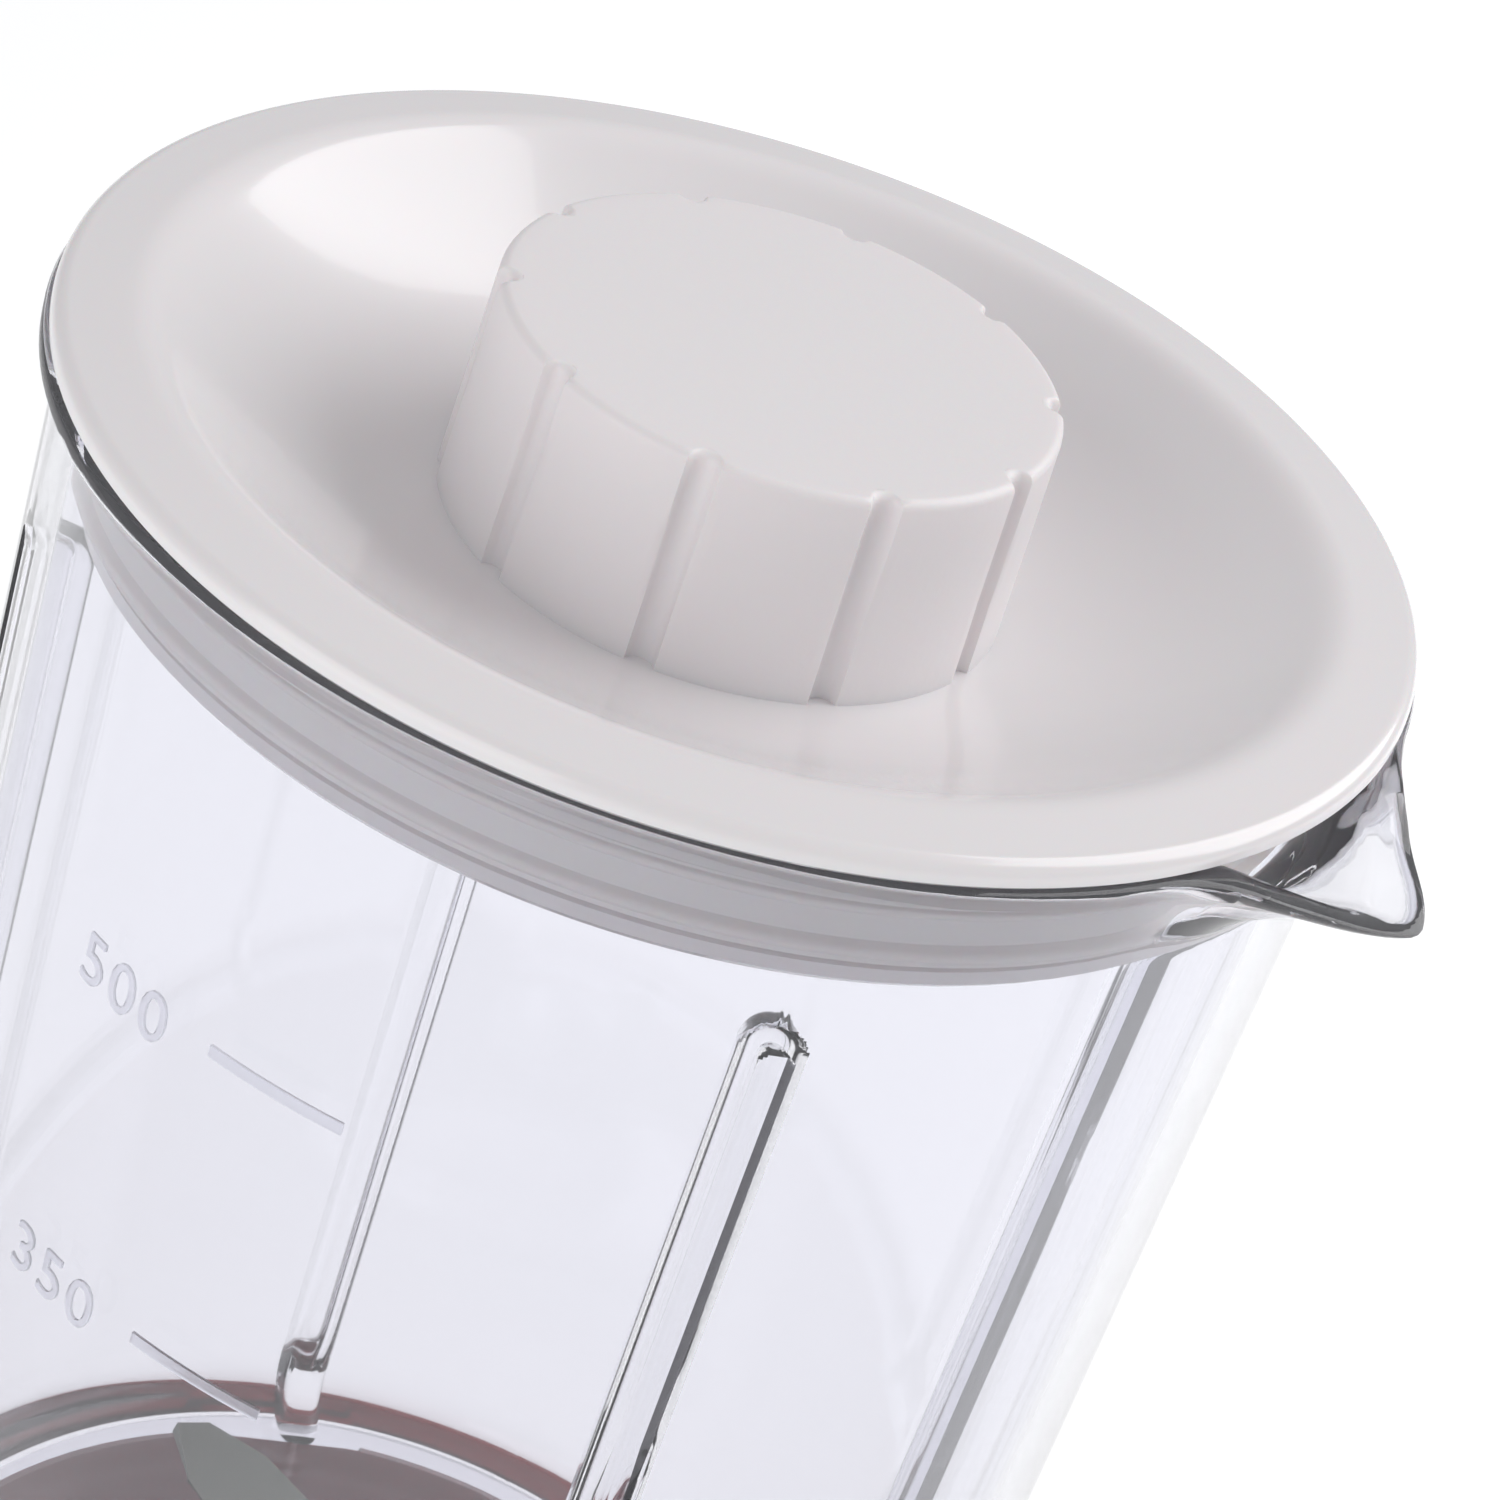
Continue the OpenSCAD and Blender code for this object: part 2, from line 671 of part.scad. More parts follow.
module jar_seat() {
    lip_bot = ledge_top + seat_gap;
    color(red_plastic) difference() {
        union() {
            rotate_extrude() polygon([[0, well_floor_bot], [well_r + shell_t, well_floor_bot],
                                      [well_r + shell_t, boss_top - shell_t], [boss_r - shell_t, boss_top - shell_t],
                                      [boss_r - shell_t, seat_z - shell_t], [lip_out - lip_t, seat_z - shell_t],
                                      [lip_out - lip_t, lip_bot], [lip_out, lip_bot], [lip_out, house_top + join_gap / 2],
                                      [seat_rim_r, house_top + join_gap / 2], [seat_rim_r, seat_z - 1.4],
                                      [seat_rim_r - 0.4, seat_z - 0.4], [seat_rim_r - 1.4, seat_z - seat_gap],
                                      [boss_r, seat_z - seat_gap],
                                      [boss_r, boss_top - 1.6], [boss_r - 0.5, boss_top - 0.5], [boss_r - 1.6, boss_top],
                                      [well_r + 1, boss_top], [well_r, boss_top - 1], [well_r, well_floor_top],
                                      [0, well_floor_top]]);
            at_motor_posts() translate([0, 0, post_bot]) cylinder(r = 4.4, h = boss_top - 1 - post_bot);
            around(4, seat_screw_turn)
                translate([seat_screw_r, 0, lip_bot]) cylinder(r = 3, h = seat_z - 1 - lip_bot);
        }
        translate([0, 0, well_floor_bot - 1]) cylinder(r = shaft_r + 1.5, h = 10);
        at_motor_posts() translate([0, 0, post_bot - 1]) cylinder(r = screw_r, h = 15);
        around(4, seat_screw_turn)
            translate([seat_screw_r, 0, lip_bot - 1]) cylinder(r = screw_r - 0.2, h = 8);
        // grooves for the jar's locating keys
        around(rib_count, rib_turn) translate([foot_in - key_depth - 0.8, -key_w / 2 - 0.5, seat_z - seat_gap])
            cube([key_depth + 4, key_w + 1, foot_h]);
    }
}

module seat_screws() {
    color(zinc) around(4, seat_screw_turn) translate([seat_screw_r, 0, ledge_top - ledge_t - seat_gap])
        pan_screw(screw_r - 0.2 - seat_gap, ledge_t + 6, 2.8, 1.8);
}

module bottom_cover() {
    slot_w = 2.6;
    slot_l = 26;
    color(dark_plastic) difference() {
        union() {
            translate([0, 0, cover_bot]) cylinder(r = cover_r, h = cover_t);
            translate([0, 0, cover_top - eps])
                tube(cover_post_r - post_rad - 2, cover_post_r - post_rad - 4, 3.4);
        }
        // air slots
        for (i = [-4 : 4])
            translate([i * 5.4 - slot_w / 2, -slot_l / 2, 0]) cube([slot_w, slot_l, cover_top + 2]);
        // recessed screw heads
        for (a = cover_post_turns) rotate(a) translate([cover_post_r, 0, 0]) {
            cylinder(r = screw_r + 0.2, h = 20);
            cylinder(r = screw_head_r + 0.4, h = cover_bot + 1.6);
        }
        // seats for the feet
        around(4, 45) translate([pad_ring_r, 0, 0]) cylinder(r = pad_r - 1.2 + join_gap, h = cover_bot + 1.4);
    }
}

module cover_screws() {
    color(zinc) for (a = cover_post_turns) rotate(a) translate([cover_post_r, 0, cover_bot + 1.6 - seat_gap])
        pan_screw(screw_r - 0.2 - seat_gap, 14, screw_head_r, 1.5);
}

module rubber_feet() {
    color(rubber) around(4, 45) translate([pad_ring_r, 0, 0]) rotate_extrude()
        polygon([[0, 0.8], [3.4, 0.8], [4, 0], [pad_r - 1, 0], [pad_r, 1], [pad_r, cover_bot - seat_gap],
                 [pad_r - 1.2, cover_bot - seat_gap], [pad_r - 1.2, cover_bot + 1.2], [0, cover_bot + 1.2]]);
}

// ---------------------------------------------------------------- mains side
module cord_inlet() {
    color(dark_plastic) translate([0, inlet_face_y, inlet_z]) rotate([-90, 0, 0]) difference() {
        union() {
            translate([0, 0, seat_gap]) cylinder(r = inlet_flange_r, h = inlet_flange_t);
            translate([0, 0, inlet_flange_t - inlet_l]) cylinder(r = inlet_body_r, h = inlet_l);
        }
        translate([0, 0, -inlet_l]) cylinder(r = inlet_bore_r, h = 2 * inlet_l);
    }
}

block_y = cover_post_r - post_rad - 21.5;
block_x = -21;
wire_r = 1.1;
wire_in = 4;
function block_hole(i) = block_x + 3.6 + i * 6.4;

module terminal_block() {
    color(white_plastic) difference() {
        translate([block_x, block_y, cover_top + seat_gap]) cube([20, 9, 11]);
        for (i = [0 : 2]) translate([block_hole(i), block_y, cover_top]) {
            translate([0, 4.5, 6]) cylinder(r = 1.8, h = 10);
            translate([0, -1, 3.6]) rotate([-90, 0, 0]) cylinder(r = wire_r + seat_gap, h = 12);
        }
    }
}

module suppression_capacitor() {
    color([0.85, 0.62, 0.12]) translate([13, block_y + 4.5, cover_top + seat_gap])
        rounded_plate(18, 8, 1, 11);
}

// A lead that runs along straight stretches with round elbows
module lead(points, r) {
    for (i = [0 : len(points) - 2]) {
        a = points[i];
        d = points[i + 1] - a;
        l = norm(d);
        translate(a) rotate([0, acos(d[2] / l), atan2(d[1], d[0])]) cylinder(r = r, h = l, $fn = 24);
        if (i > 0) translate(a) sphere(r = r * 1.42, $fn = 24);
    }
}

module internal_wires() {
    hole_z = cover_top + 3.6;
    back = -pocket_t - switch_l;
    color([0.15, 0.25, 0.55]) for (k = [0, 1])
        lead([[block_hole(k), block_y + wire_in, hole_z], [block_hole(k), block_y - 6, hole_z],
              [-30 + 6 * k, 4, hole_z + 2], [-22 + 8 * k, -core_d / 2 - wire_r - 1.5, hole_z + 6],
              dial_point([-7 + 7 * k, -4, back - 6]), dial_point([-7 + 7 * k, -4, back - seat_gap])], wire_r);
}

// ---------------------------------------------------------------- dial
module dial_plate() {
    color(white_plastic) at_dial() difference() {
        union() {
            translate([0, 0, seat_gap]) cylinder(r = plate_r, h = face_t);
            // a raised dot at each setting: pulse, off, low and high
            for (a = [135, 90, 45, 0]) rotate(a)
                translate([plate_r - 2.3, 0, face_t]) cylinder(r = 0.7, h = 0.5);
        }
        translate([0, 0, -1]) cylinder(r = bush_r + join_gap, h = face_t + 2);
    }
}

module rotary_switch() {
    color(dark_plastic) at_dial() difference() {
        union() {
            translate([-12, -12, -pocket_t - switch_l]) cube([24, 24, switch_l - seat_gap]);
            translate([0, 0, -pocket_t - eps]) cylinder(r = bush_r, h = pocket_t + face_t + nut_t + 0.4);
        }
        translate([0, 0, -pocket_t - 8]) cylinder(r = dial_shaft_r + run_gap * 3, h = 30);
    }
}

module switch_nut() {
    color(zinc) at_dial() translate([0, 0, face_t + seat_gap * 2]) difference() {
        cylinder(d = (2 * bush_r + 3) / cos(30), h = nut_t, $fn = 6);
        translate([0, 0, -1]) cylinder(r = bush_r + seat_gap, h = nut_t + 2);
    }
}

module dial_spindle() {
    color(steel) at_dial() translate([0, 0, -pocket_t - 7.4])
        cylinder(r = dial_shaft_r, h = pocket_t + 7.4 + knob_bot + knob_h - 3);
}

module speed_knob() {
    knob_top_r = knob_r - 1;
    cup_r = bush_r + 3.4;
    color(white_plastic) at_dial() translate([0, 0, knob_bot]) difference() {
        rotate_extrude() polygon(concat([[0, knob_h]], arc(knob_top_r - 1, knob_h - 1, 1, 90, 0, 4),
                                        [[knob_r, 0], [cup_r, 0], [cup_r, 4.5], [0, 4.5]]));
        around(10) translate([knob_r + 0.6, 0, 2]) cylinder(d = flute_w, h = knob_h);
        translate([0, 0, -1]) cylinder(r = dial_shaft_r + seat_gap, h = knob_h - 2);
        translate([-0.9, knob_r * 0.42, knob_h - 0.8]) cube([1.8, knob_r * 0.42, 2]);
    }
}

module knob_pointer() {
    color(red_plastic) at_dial()
        translate([-0.9 + seat_gap, knob_r * 0.42 + seat_gap, knob_bot + knob_h - 0.8 + seat_gap])
        cube([1.8 - 2 * seat_gap, knob_r * 0.42 - 2 * seat_gap, 0.9]);
}

// ---------------------------------------------------------------- motor frame
module bracket_plate(legs_up, leg_h) {
    difference() {
        union() {
            rounded_plate(core_w, core_d, 6, plate_t);
            translate([0, 0, legs_up ? plate_t - eps : eps - leg_h])
                for (x = [-1, 1], y = [-1, 1])
                    translate([x * bolt_x, y * bolt_y, 0]) cylinder(r = bolt_r + 1.6, h = leg_h);
        }
        for (x = [-1, 1], y = [-1, 1]) translate([x * bolt_x, y * bolt_y, -leg_h - 1])
            cylinder(r = bolt_r + join_gap, h = 2 * leg_h + 10);
        // air windows left and right of the bearing
        for (x = [-1, 1]) translate([x * 17.5, 0, -1]) cylinder(r = 6, h = plate_t + 2);
    }
}

module upper_bracket() {
    color(zinc) difference() {
        union() {
            translate([0, 0, up_plate_bot]) bracket_plate(false, up_plate_bot - stack_top - seat_gap);
            translate([0, 0, up_bearing_bot]) cylinder(r = bearing_r + 2, h = bearing_h);
        }
        translate([0, 0, up_bearing_bot - 1]) cylinder(r = bearing_r + seat_gap, h = bearing_h + 2);
        at_motor_posts() translate([0, 0, up_plate_bot - 1]) cylinder(r = screw_r + 0.3, h = plate_t + 2);
    }
}

module lower_bracket() {
    color(zinc) difference() {
        union() {
            translate([0, 0, low_plate_bot])
                bracket_plate(true, stack_bot - low_plate_bot - plate_t - seat_gap);
            translate([0, 0, low_bearing_bot]) cylinder(r = bearing_r + 2, h = bearing_h);
        }
        translate([0, 0, low_bearing_bot - 1]) cylinder(r = bearing_r + seat_gap, h = bearing_h + 2);
    }
}

module bracket_dampers() {
    color(rubber) at_motor_posts() translate([0, 0, up_plate_bot + plate_t + seat_gap])
        tube(5, screw_r + 0.3, damper_h - 2 * seat_gap);
}

module bracket_screws() {
    color(zinc) at_motor_posts() translate([0, 0, up_plate_bot - seat_gap])
        pan_screw(screw_r - seat_gap, plate_t + damper_h + 9, 3, 2);
}

module motor_bolts() {
    color(zinc) for (x = [-1, 1], y = [-1, 1]) translate([x * bolt_x, y * bolt_y, low_plate_bot - seat_gap])
        pan_screw(bolt_r, up_plate_bot + plate_t - low_plate_bot + 2, 3.2, 2);
}

module upper_bearing() {
    color(bronze) translate([0, 0, up_bearing_bot]) tube(bearing_r, shaft_r + run_gap, bearing_h);
}

module lower_bearing() {
    color(bronze) translate([0, 0, low_bearing_bot]) tube(bearing_r, shaft_r + run_gap, bearing_h);
}

// ---------------------------------------------------------------- motor field
window_w = 34;
window_top = core_d / 2 - 4.8;

module stator_core() {
    color(laminate) difference() {
        translate([0, 0, stack_bot]) rounded_plate(core_w, core_d, 5, stack_h);
        translate([0, 0, stack_bot - 1]) cylinder(r = bore_r, h = stack_h + 2);
        for (side = [-1, 1]) translate([0, 0, stack_bot - 1]) linear_extrude(stack_h + 2) difference() {
            translate([-window_w / 2, side > 0 ? 7 : -window_top]) square([window_w, window_top - 7]);
            difference() {
                circle(r = shoe_r);
                translate([-6, -30]) square([12, 60]);
            }
        }
        for (x = [-1, 1], y = [-1, 1]) translate([x * bolt_x, y * bolt_y, stack_bot - 1])
            cylinder(r = bolt_r + join_gap, h = stack_h + 2);
    }
}

module field_coils() {
    leg_in = sqrt(pow(shoe_r + 0.4, 2) - pow(9, 2));
    leg_t = window_top - seat_gap - leg_in;
    turn_h = winding_h - 0.4;
    color(copper) for (side = [0, 180]) rotate(side) {
        for (y = [-1, 1]) translate([9, y > 0 ? leg_in : -leg_in - leg_t, stack_bot - turn_h])
            cube([7, leg_t, stack_h + 2 * turn_h]);
        for (z = [stack_bot - turn_h, stack_top + 0.1])
            translate([9, -leg_in - leg_t, z]) difference() {
                cube([12.2, 2 * (leg_in + leg_t), turn_h - 0.1]);
                translate([-9, leg_in + leg_t, -1]) cylinder(r = armature_r + 1.2, h = turn_h + 2);
            }
    }
}

brush_l = 8;
brush_w = 5;
brush_h = 6;
brush_gap = 0.3;
brush_slot_z = comm_bot + 2.9;
brush_back = comm_r + brush_gap + brush_l;
brush_holder_in = max(comm_r + 1.2, bearing_r + 2 + join_gap);
spring_l = 6.8;

module brush_holders() {
    holder_w = brush_w + 3;
    foot_z = low_plate_bot + plate_t + seat_gap;
    color(bronze) for (side = [0, 180]) rotate(side)
        difference() {
            translate([brush_holder_in, -holder_w / 2, foot_z])
                cube([brush_back + spring_l + 1.2 - brush_holder_in, holder_w,
                      brush_slot_z + brush_h + 1.6 - foot_z]);
            translate([comm_r, -brush_w / 2 - 0.1, brush_slot_z])
                cube([brush_back + spring_l - comm_r, brush_w + 0.2, brush_h + 0.2]);
        }
}

module carbon_brushes() {
    color([0.10, 0.10, 0.10]) for (side = [0, 180]) rotate(side)
        translate([comm_r + brush_gap, -brush_w / 2, brush_slot_z + seat_gap])
            cube([brush_l, brush_w, brush_h]);
}

// Closed round-wire spring, swept along its own helix
module coil_spring(radius, wire_r, length, turns) {
    sides = 6;
    per_turn = 10;
    n = turns * per_turn;
    rings = [for (i = [0 : n]) let (a = 360 * i / per_turn, h = wire_r + (length - 2 * wire_r) * i / n)
        [for (k = [0 : sides - 1]) let (b = 360 * k / sides)
            [(radius + wire_r * cos(b)) * cos(a), (radius + wire_r * cos(b)) * sin(a), h + wire_r * sin(b)]]];
    points = [for (ring = rings) for (p = ring) p];
    walls = [for (i = [0 : n - 1]) for (k = [0 : sides - 1]) let (m = (k + 1) % sides)
        [i * sides + k, (i + 1) * sides + k, (i + 1) * sides + m, i * sides + m]];
    ends = [[for (k = [0 : sides - 1]) k], [for (k = [sides - 1 : -1 : 0]) n * sides + k]];
    polyhedron(points, concat(walls, ends), convexity = 6);
}

module brush_springs() {
    color(steel) for (side = [0, 180]) rotate(side)
        translate([brush_back + seat_gap, 0, brush_slot_z + brush_h / 2]) rotate([0, 90, 0])
            coil_spring(1.7, 0.3, spring_l - 2 * seat_gap, 5);
}

// ---------------------------------------------------------------- rotor
module motor_shaft() {
    color(steel) translate([0, 0, shaft_bot])
        cylinder(r = shaft_r, h = drive_bot + drive_disc_t - 1 - 2 * seat_gap - shaft_bot);
}

module armature_core() {
    slots = 12;
    color(laminate) difference() {
        translate([0, 0, stack_bot]) tube(armature_r, shaft_r + seat_gap, stack_h);
        around(slots) translate([armature_r - 5.5, -0.8, stack_bot - 1]) cube([8, 1.6, stack_h + 2]);
    }
}

module armature_winding() {
    in_r = shaft_r + 0.6;
    out_r = armature_r - 1.4;
    color(copper) for (z = [low_wind_bot, stack_top]) translate([0, 0, z + seat_gap]) rotate_extrude()
        polygon([[in_r, 0], [out_r - 1, 0], [out_r, 1.2], [out_r, winding_h - 1.2], [out_r - 1, winding_h],
                 [in_r, winding_h]]);
}

module commutator() {
    bars = 12;
    color(copper) translate([0, 0, comm_bot]) difference() {
        tube(comm_r, shaft_r + seat_gap, comm_h);
        around(bars) translate([comm_r - 1.2, -0.25, -1]) cube([3, 0.5, comm_h + 2]);
    }
}

module cooling_fan() {
    vanes = 9;
    color(dark_plastic) difference() {
        translate([0, 0, fan_bot]) union() {
            cylinder(r = shaft_r + 3.2, h = fan_h);
            cylinder(r = fan_r, h = 1.4);
            around(vanes) translate([shaft_r + 2, -0.7, 0]) cube([fan_r - shaft_r - 2.4, 1.4, fan_h]);
        }
        translate([0, 0, fan_bot - 1]) cylinder(r = shaft_r + seat_gap, h = fan_h + 2);
    }
}

lid();
lid_seal();
filler_cap();
jar();
blade_holder();
holder_gasket();
holder_nut();
spindle_bushes();
spindle_seal();
blade_spindle();
lower_blade();
upper_blade();
blade_nut();
driven_coupling();
base_housing();
jar_seat();
seat_screws();
bottom_cover();
rubber_feet();
cover_screws();
cord_inlet();
terminal_block();
suppression_capacitor();
internal_wires();
dial_plate();
speed_knob();
knob_pointer();
dial_spindle();
rotary_switch();
switch_nut();
upper_bracket();
lower_bracket();
bracket_dampers();
bracket_screws();
motor_bolts();
stator_core();
field_coils();
upper_bearing();
lower_bearing();
brush_holders();
carbon_brushes();
brush_springs();
motor_shaft();
armature_core();
armature_winding();
commutator();
cooling_fan();
drive_coupling();
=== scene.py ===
"""Looks of a compact countertop blender: clear jar, white lid and cap, red motor base."""

import json
import math

import bmesh
import bpy
from mathutils import Euler, Matrix, Vector


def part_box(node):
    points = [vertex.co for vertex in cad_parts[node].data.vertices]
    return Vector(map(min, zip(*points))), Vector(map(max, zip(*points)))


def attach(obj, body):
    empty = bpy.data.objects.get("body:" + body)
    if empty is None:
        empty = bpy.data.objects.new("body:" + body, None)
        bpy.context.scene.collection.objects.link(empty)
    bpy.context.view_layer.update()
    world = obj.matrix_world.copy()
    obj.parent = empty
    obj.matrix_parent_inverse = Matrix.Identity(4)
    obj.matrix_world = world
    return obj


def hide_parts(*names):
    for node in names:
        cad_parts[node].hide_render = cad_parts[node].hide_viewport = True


bl_info = {
    "name": "Countertop blender",
    "version": (1, 0, 0),
    "blender": (4, 5, 0),
    "location": "3D View > Sidebar > Blender",
    "description": "Builds the looks of a countertop blender around its packed frame",
    "category": "Object",
}

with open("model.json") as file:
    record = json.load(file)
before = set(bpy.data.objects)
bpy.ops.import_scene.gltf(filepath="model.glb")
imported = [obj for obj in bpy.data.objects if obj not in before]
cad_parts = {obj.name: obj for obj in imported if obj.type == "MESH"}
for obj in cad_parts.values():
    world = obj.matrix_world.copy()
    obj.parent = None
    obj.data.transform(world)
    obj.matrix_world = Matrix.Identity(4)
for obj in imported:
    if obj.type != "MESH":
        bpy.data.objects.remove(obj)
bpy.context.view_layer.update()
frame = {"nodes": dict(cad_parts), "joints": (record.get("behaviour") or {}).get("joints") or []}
NODES = frame["nodes"]
MM = 0.001

# ---- levels and radii read from the frame, in metres
JAR_LOW, JAR_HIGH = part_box("jar")
LID_LOW, LID_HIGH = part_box("lid")
CAP_LOW, CAP_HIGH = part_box("filler_cap")
SEAT_LOW, SEAT_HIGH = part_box("jar_seat")
HOUSE_LOW, HOUSE_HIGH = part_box("base_housing")
RIM_Z = JAR_HIGH.z
SEAT_Z = JAR_LOW.z
FLOOR_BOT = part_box("holder_nut")[1].z
FLOOR_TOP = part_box("holder_gasket")[0].z
RIM_R = JAR_HIGH.y
JOINTS = {j["name"]: j for j in frame["joints"]}

# ---- heights of the lid from the jar's rim, and the outside radius of its skirt, in metres
FLANGE_TOP = 0.0018
HUB_TOP = -0.0062
HUB_UNDER = -0.0122
SKIRT_DEPTH = 0.011
SKIRT_R = 0.04299


# ---------------------------------------------------------------- shader maths
class Wire:
    """A node socket that can be added, multiplied and mixed in plain expressions."""

    def __init__(self, shop, socket):
        self.shop, self.socket = shop, socket

    def _math(self, operation, first, second):
        return self.shop.node("ShaderNodeMath", {"operation": operation}, {0: first, 1: second})

    def __add__(self, other):
        return self._math("ADD", self, other)

    __radd__ = __add__

    def __mul__(self, other):
        return self._math("MULTIPLY", self, other)

    __rmul__ = __mul__

    def __sub__(self, other):
        return self._math("SUBTRACT", self, other)

    def __rsub__(self, other):
        return self._math("SUBTRACT", other, self)


class Finish:
    """One material and the single method that adds any node to it."""

    def __init__(self, name, **sockets):
        self.material = bpy.data.materials.new(name)
        self.material.use_nodes = True
        self.tree = self.material.node_tree
        self.shader = self.tree.nodes["Principled BSDF"]
        for key, value in sockets.items():
            self.shader.inputs[key.replace("_", " ")].default_value = value

    def node(self, kind, settings=None, inputs=None, output=0):
        made = self.tree.nodes.new(kind)
        for key, value in (settings or {}).items():
            if key == "stops":
                for element, (place, colour) in zip(made.color_ramp.elements, value):
                    element.position, element.color = place, colour
            else:
                setattr(made, key, value)
        for key, value in (inputs or {}).items():
            if isinstance(value, Wire):
                self.tree.links.new(value.socket, made.inputs[key])
            else:
                made.inputs[key].default_value = value
        return Wire(self, made.outputs[output])

    def place(self, scale=(1, 1, 1), turn=(0, 0, 0), centre=(0, 0, 0)):
        where = self.node("ShaderNodeTexCoord", output="Object")
        sized = {"Vector": where, "Scale": scale, "Rotation": turn, "Location": centre}
        return self.node("ShaderNodeMapping", None, sized)

    def noise(self, scale, detail=3.0, stretch=(1, 1, 1)):
        inputs = {"Vector": self.place(stretch), "Scale": scale, "Detail": detail}
        return self.node("ShaderNodeTexNoise", None, inputs, output="Fac")

    def bands(self, scale, axis="Z", distortion=0.0):
        settings = {"wave_type": "BANDS", "bands_direction": axis}
        inputs = {"Vector": self.place(), "Scale": scale, "Distortion": distortion}
        return self.node("ShaderNodeTexWave", settings, inputs, output="Fac")

    def mix(self, factor, dark, light):
        inputs = {0: factor, 6: dark, 7: light}
        return self.node("ShaderNodeMix", {"data_type": "RGBA"}, inputs, output=2)

    def feed(self, **wires):
        for key, wire in wires.items():
            self.tree.links.new(wire.socket, self.shader.inputs[key.replace("_", " ")])
        return self

    def bump(self, height, strength, distance):
        inputs = {"Height": height, "Strength": strength, "Distance": distance}
        return self.feed(Normal=self.node("ShaderNodeBump", None, inputs))


def rgba(colour, gain=1.0):
    """A colour with its brightness scaled, as four values."""
    return (colour[0] * gain, colour[1] * gain, colour[2] * gain, 1.0)


def moulded(name, colour, roughness, grain=900.0, bump=0.04, spread=0.06, tint=0.04, **more):
    """Moulded plastic: faint flow marks in the colour, uneven gloss and a fine skin."""
    made = Finish(name, **more)
    flow = made.noise(22.0, 2.0, (1, 1, 0.4))
    skin = made.noise(grain, 2.0)
    made.feed(Base_Color=made.mix(flow, rgba(colour, 1 - tint), rgba(colour)))
    made.feed(Roughness=flow * spread + (roughness - spread / 2))
    return made.bump(skin, bump, 0.0002).material


def clear_jar_finish(colour):
    """Clear moulded plastic with the slightest flow lines in its skin."""
    made = Finish("clear_moulded_jar", IOR=1.45, Transmission_Weight=0.965)
    flow = made.noise(14.0, 1.0, (1, 1, 0.25))
    made.feed(Base_Color=made.mix(flow, rgba(colour, 0.985), rgba(colour)))
    made.feed(Roughness=flow * 0.02 + 0.008)
    return made.bump(flow, 0.10, 0.0006).material


def embossed_finish(colour):
    """Frosted, low relief of the jar's scale, which hardly bends what is seen through it."""
    made = Finish("frosted_relief", IOR=1.07, Transmission_Weight=0.9)
    frost = made.noise(900.0, 2.0)
    made.feed(Base_Color=made.mix(frost, rgba(colour, 0.94), rgba(colour)))
    made.feed(Roughness=frost * 0.2 + 0.25)
    return made.bump(frost, 0.2, 0.0002).material


def turned_metal(name, colour, roughness, rings=900.0):
    """Lathe-turned metal, with rings along the axis and patchy wear."""
    made = Finish(name, Metallic=1.0)
    ring = made.bands(rings)
    patch = made.noise(60.0)
    made.feed(Base_Color=made.mix(patch, rgba(colour, 0.82), rgba(colour)))
    made.feed(Roughness=ring * 0.10 + patch * 0.12 + (roughness - 0.1))
    return made.bump(ring, 0.15, 0.0001).material


def brushed_blade(name, colour):
    """Ground sheet steel, scratched along its length."""
    made = Finish(name, Metallic=1.0)
    scratch = made.noise(260.0, 4.0, (1, 0.08, 1))
    made.feed(Base_Color=made.mix(scratch, rgba(colour, 0.7), rgba(colour)))
    made.feed(Roughness=scratch * 0.22 + 0.2)
    return made.bump(scratch, 0.25, 0.0001).material


def cast_metal(name, colour, roughness):
    """Die-cast or plated metal, with a fine orange-peel skin."""
    made = Finish(name, Metallic=1.0)
    skin, patch = made.noise(420.0, 4.0), made.noise(35.0)
    made.feed(Base_Color=made.mix(patch, rgba(colour, 0.8), rgba(colour)))
    made.feed(Roughness=skin * 0.2 + patch * 0.1 + (roughness - 0.15))
    return made.bump(skin, 0.3, 0.0003).material


def laminated(name, colour):
    """Varnished laminations: half-millimetre sheets stacked along the axis."""
    made = Finish(name, Metallic=0.6)
    sheet, patch = made.bands(314.0), made.noise(90.0)
    made.feed(Base_Color=made.mix(sheet, rgba(colour, 0.4), rgba(colour)))
    made.feed(Roughness=patch * 0.2 + 0.35)
    return made.bump(sheet, 0.6, 0.0002).material


def wound_wire(name, colour):
    """Enamelled wire laid turn by turn, with a lacquer coat."""
    made = Finish(name, Metallic=0.7, Coat_Weight=0.6, Coat_Roughness=0.15)
    turn, patch = made.bands(420.0, "X", 0.6), made.noise(70.0)
    made.feed(Base_Color=made.mix(turn, rgba(colour, 0.35), rgba(colour)))
    made.feed(Roughness=patch * 0.15 + 0.28)
    return made.bump(turn, 0.8, 0.0003).material


def rubbery(name, colour, roughness=0.75):
    """Matt rubber, with dusty patches here and there."""
    made = Finish(name)
    dust, skin = made.noise(55.0, 4.0), made.noise(700.0, 3.0)
    made.feed(Base_Color=made.mix(dust, rgba(colour), rgba(colour, 1.5)))
    made.feed(Roughness=dust * 0.15 + (roughness - 0.08))
    return made.bump(skin, 0.35, 0.0003).material


# ---------------------------------------------------------------- mesh helpers
def add_piece(name, mesh, body, slot, material, *replaced, sharp=math.radians(32)):
    """Links a mesh as a piece that rides on a body and gives it the finish it is handed; the slot is not
    used.
    """
    mesh.name = name
    piece = bpy.data.objects.new(name, mesh)
    bpy.context.scene.collection.objects.link(piece)
    mesh.materials.clear()
    mesh.materials.append(material)
    mesh.shade_smooth()
    mesh.set_sharp_from_angle(angle=sharp)
    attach(piece, body)
    if replaced:
        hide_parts(*replaced)
    return piece


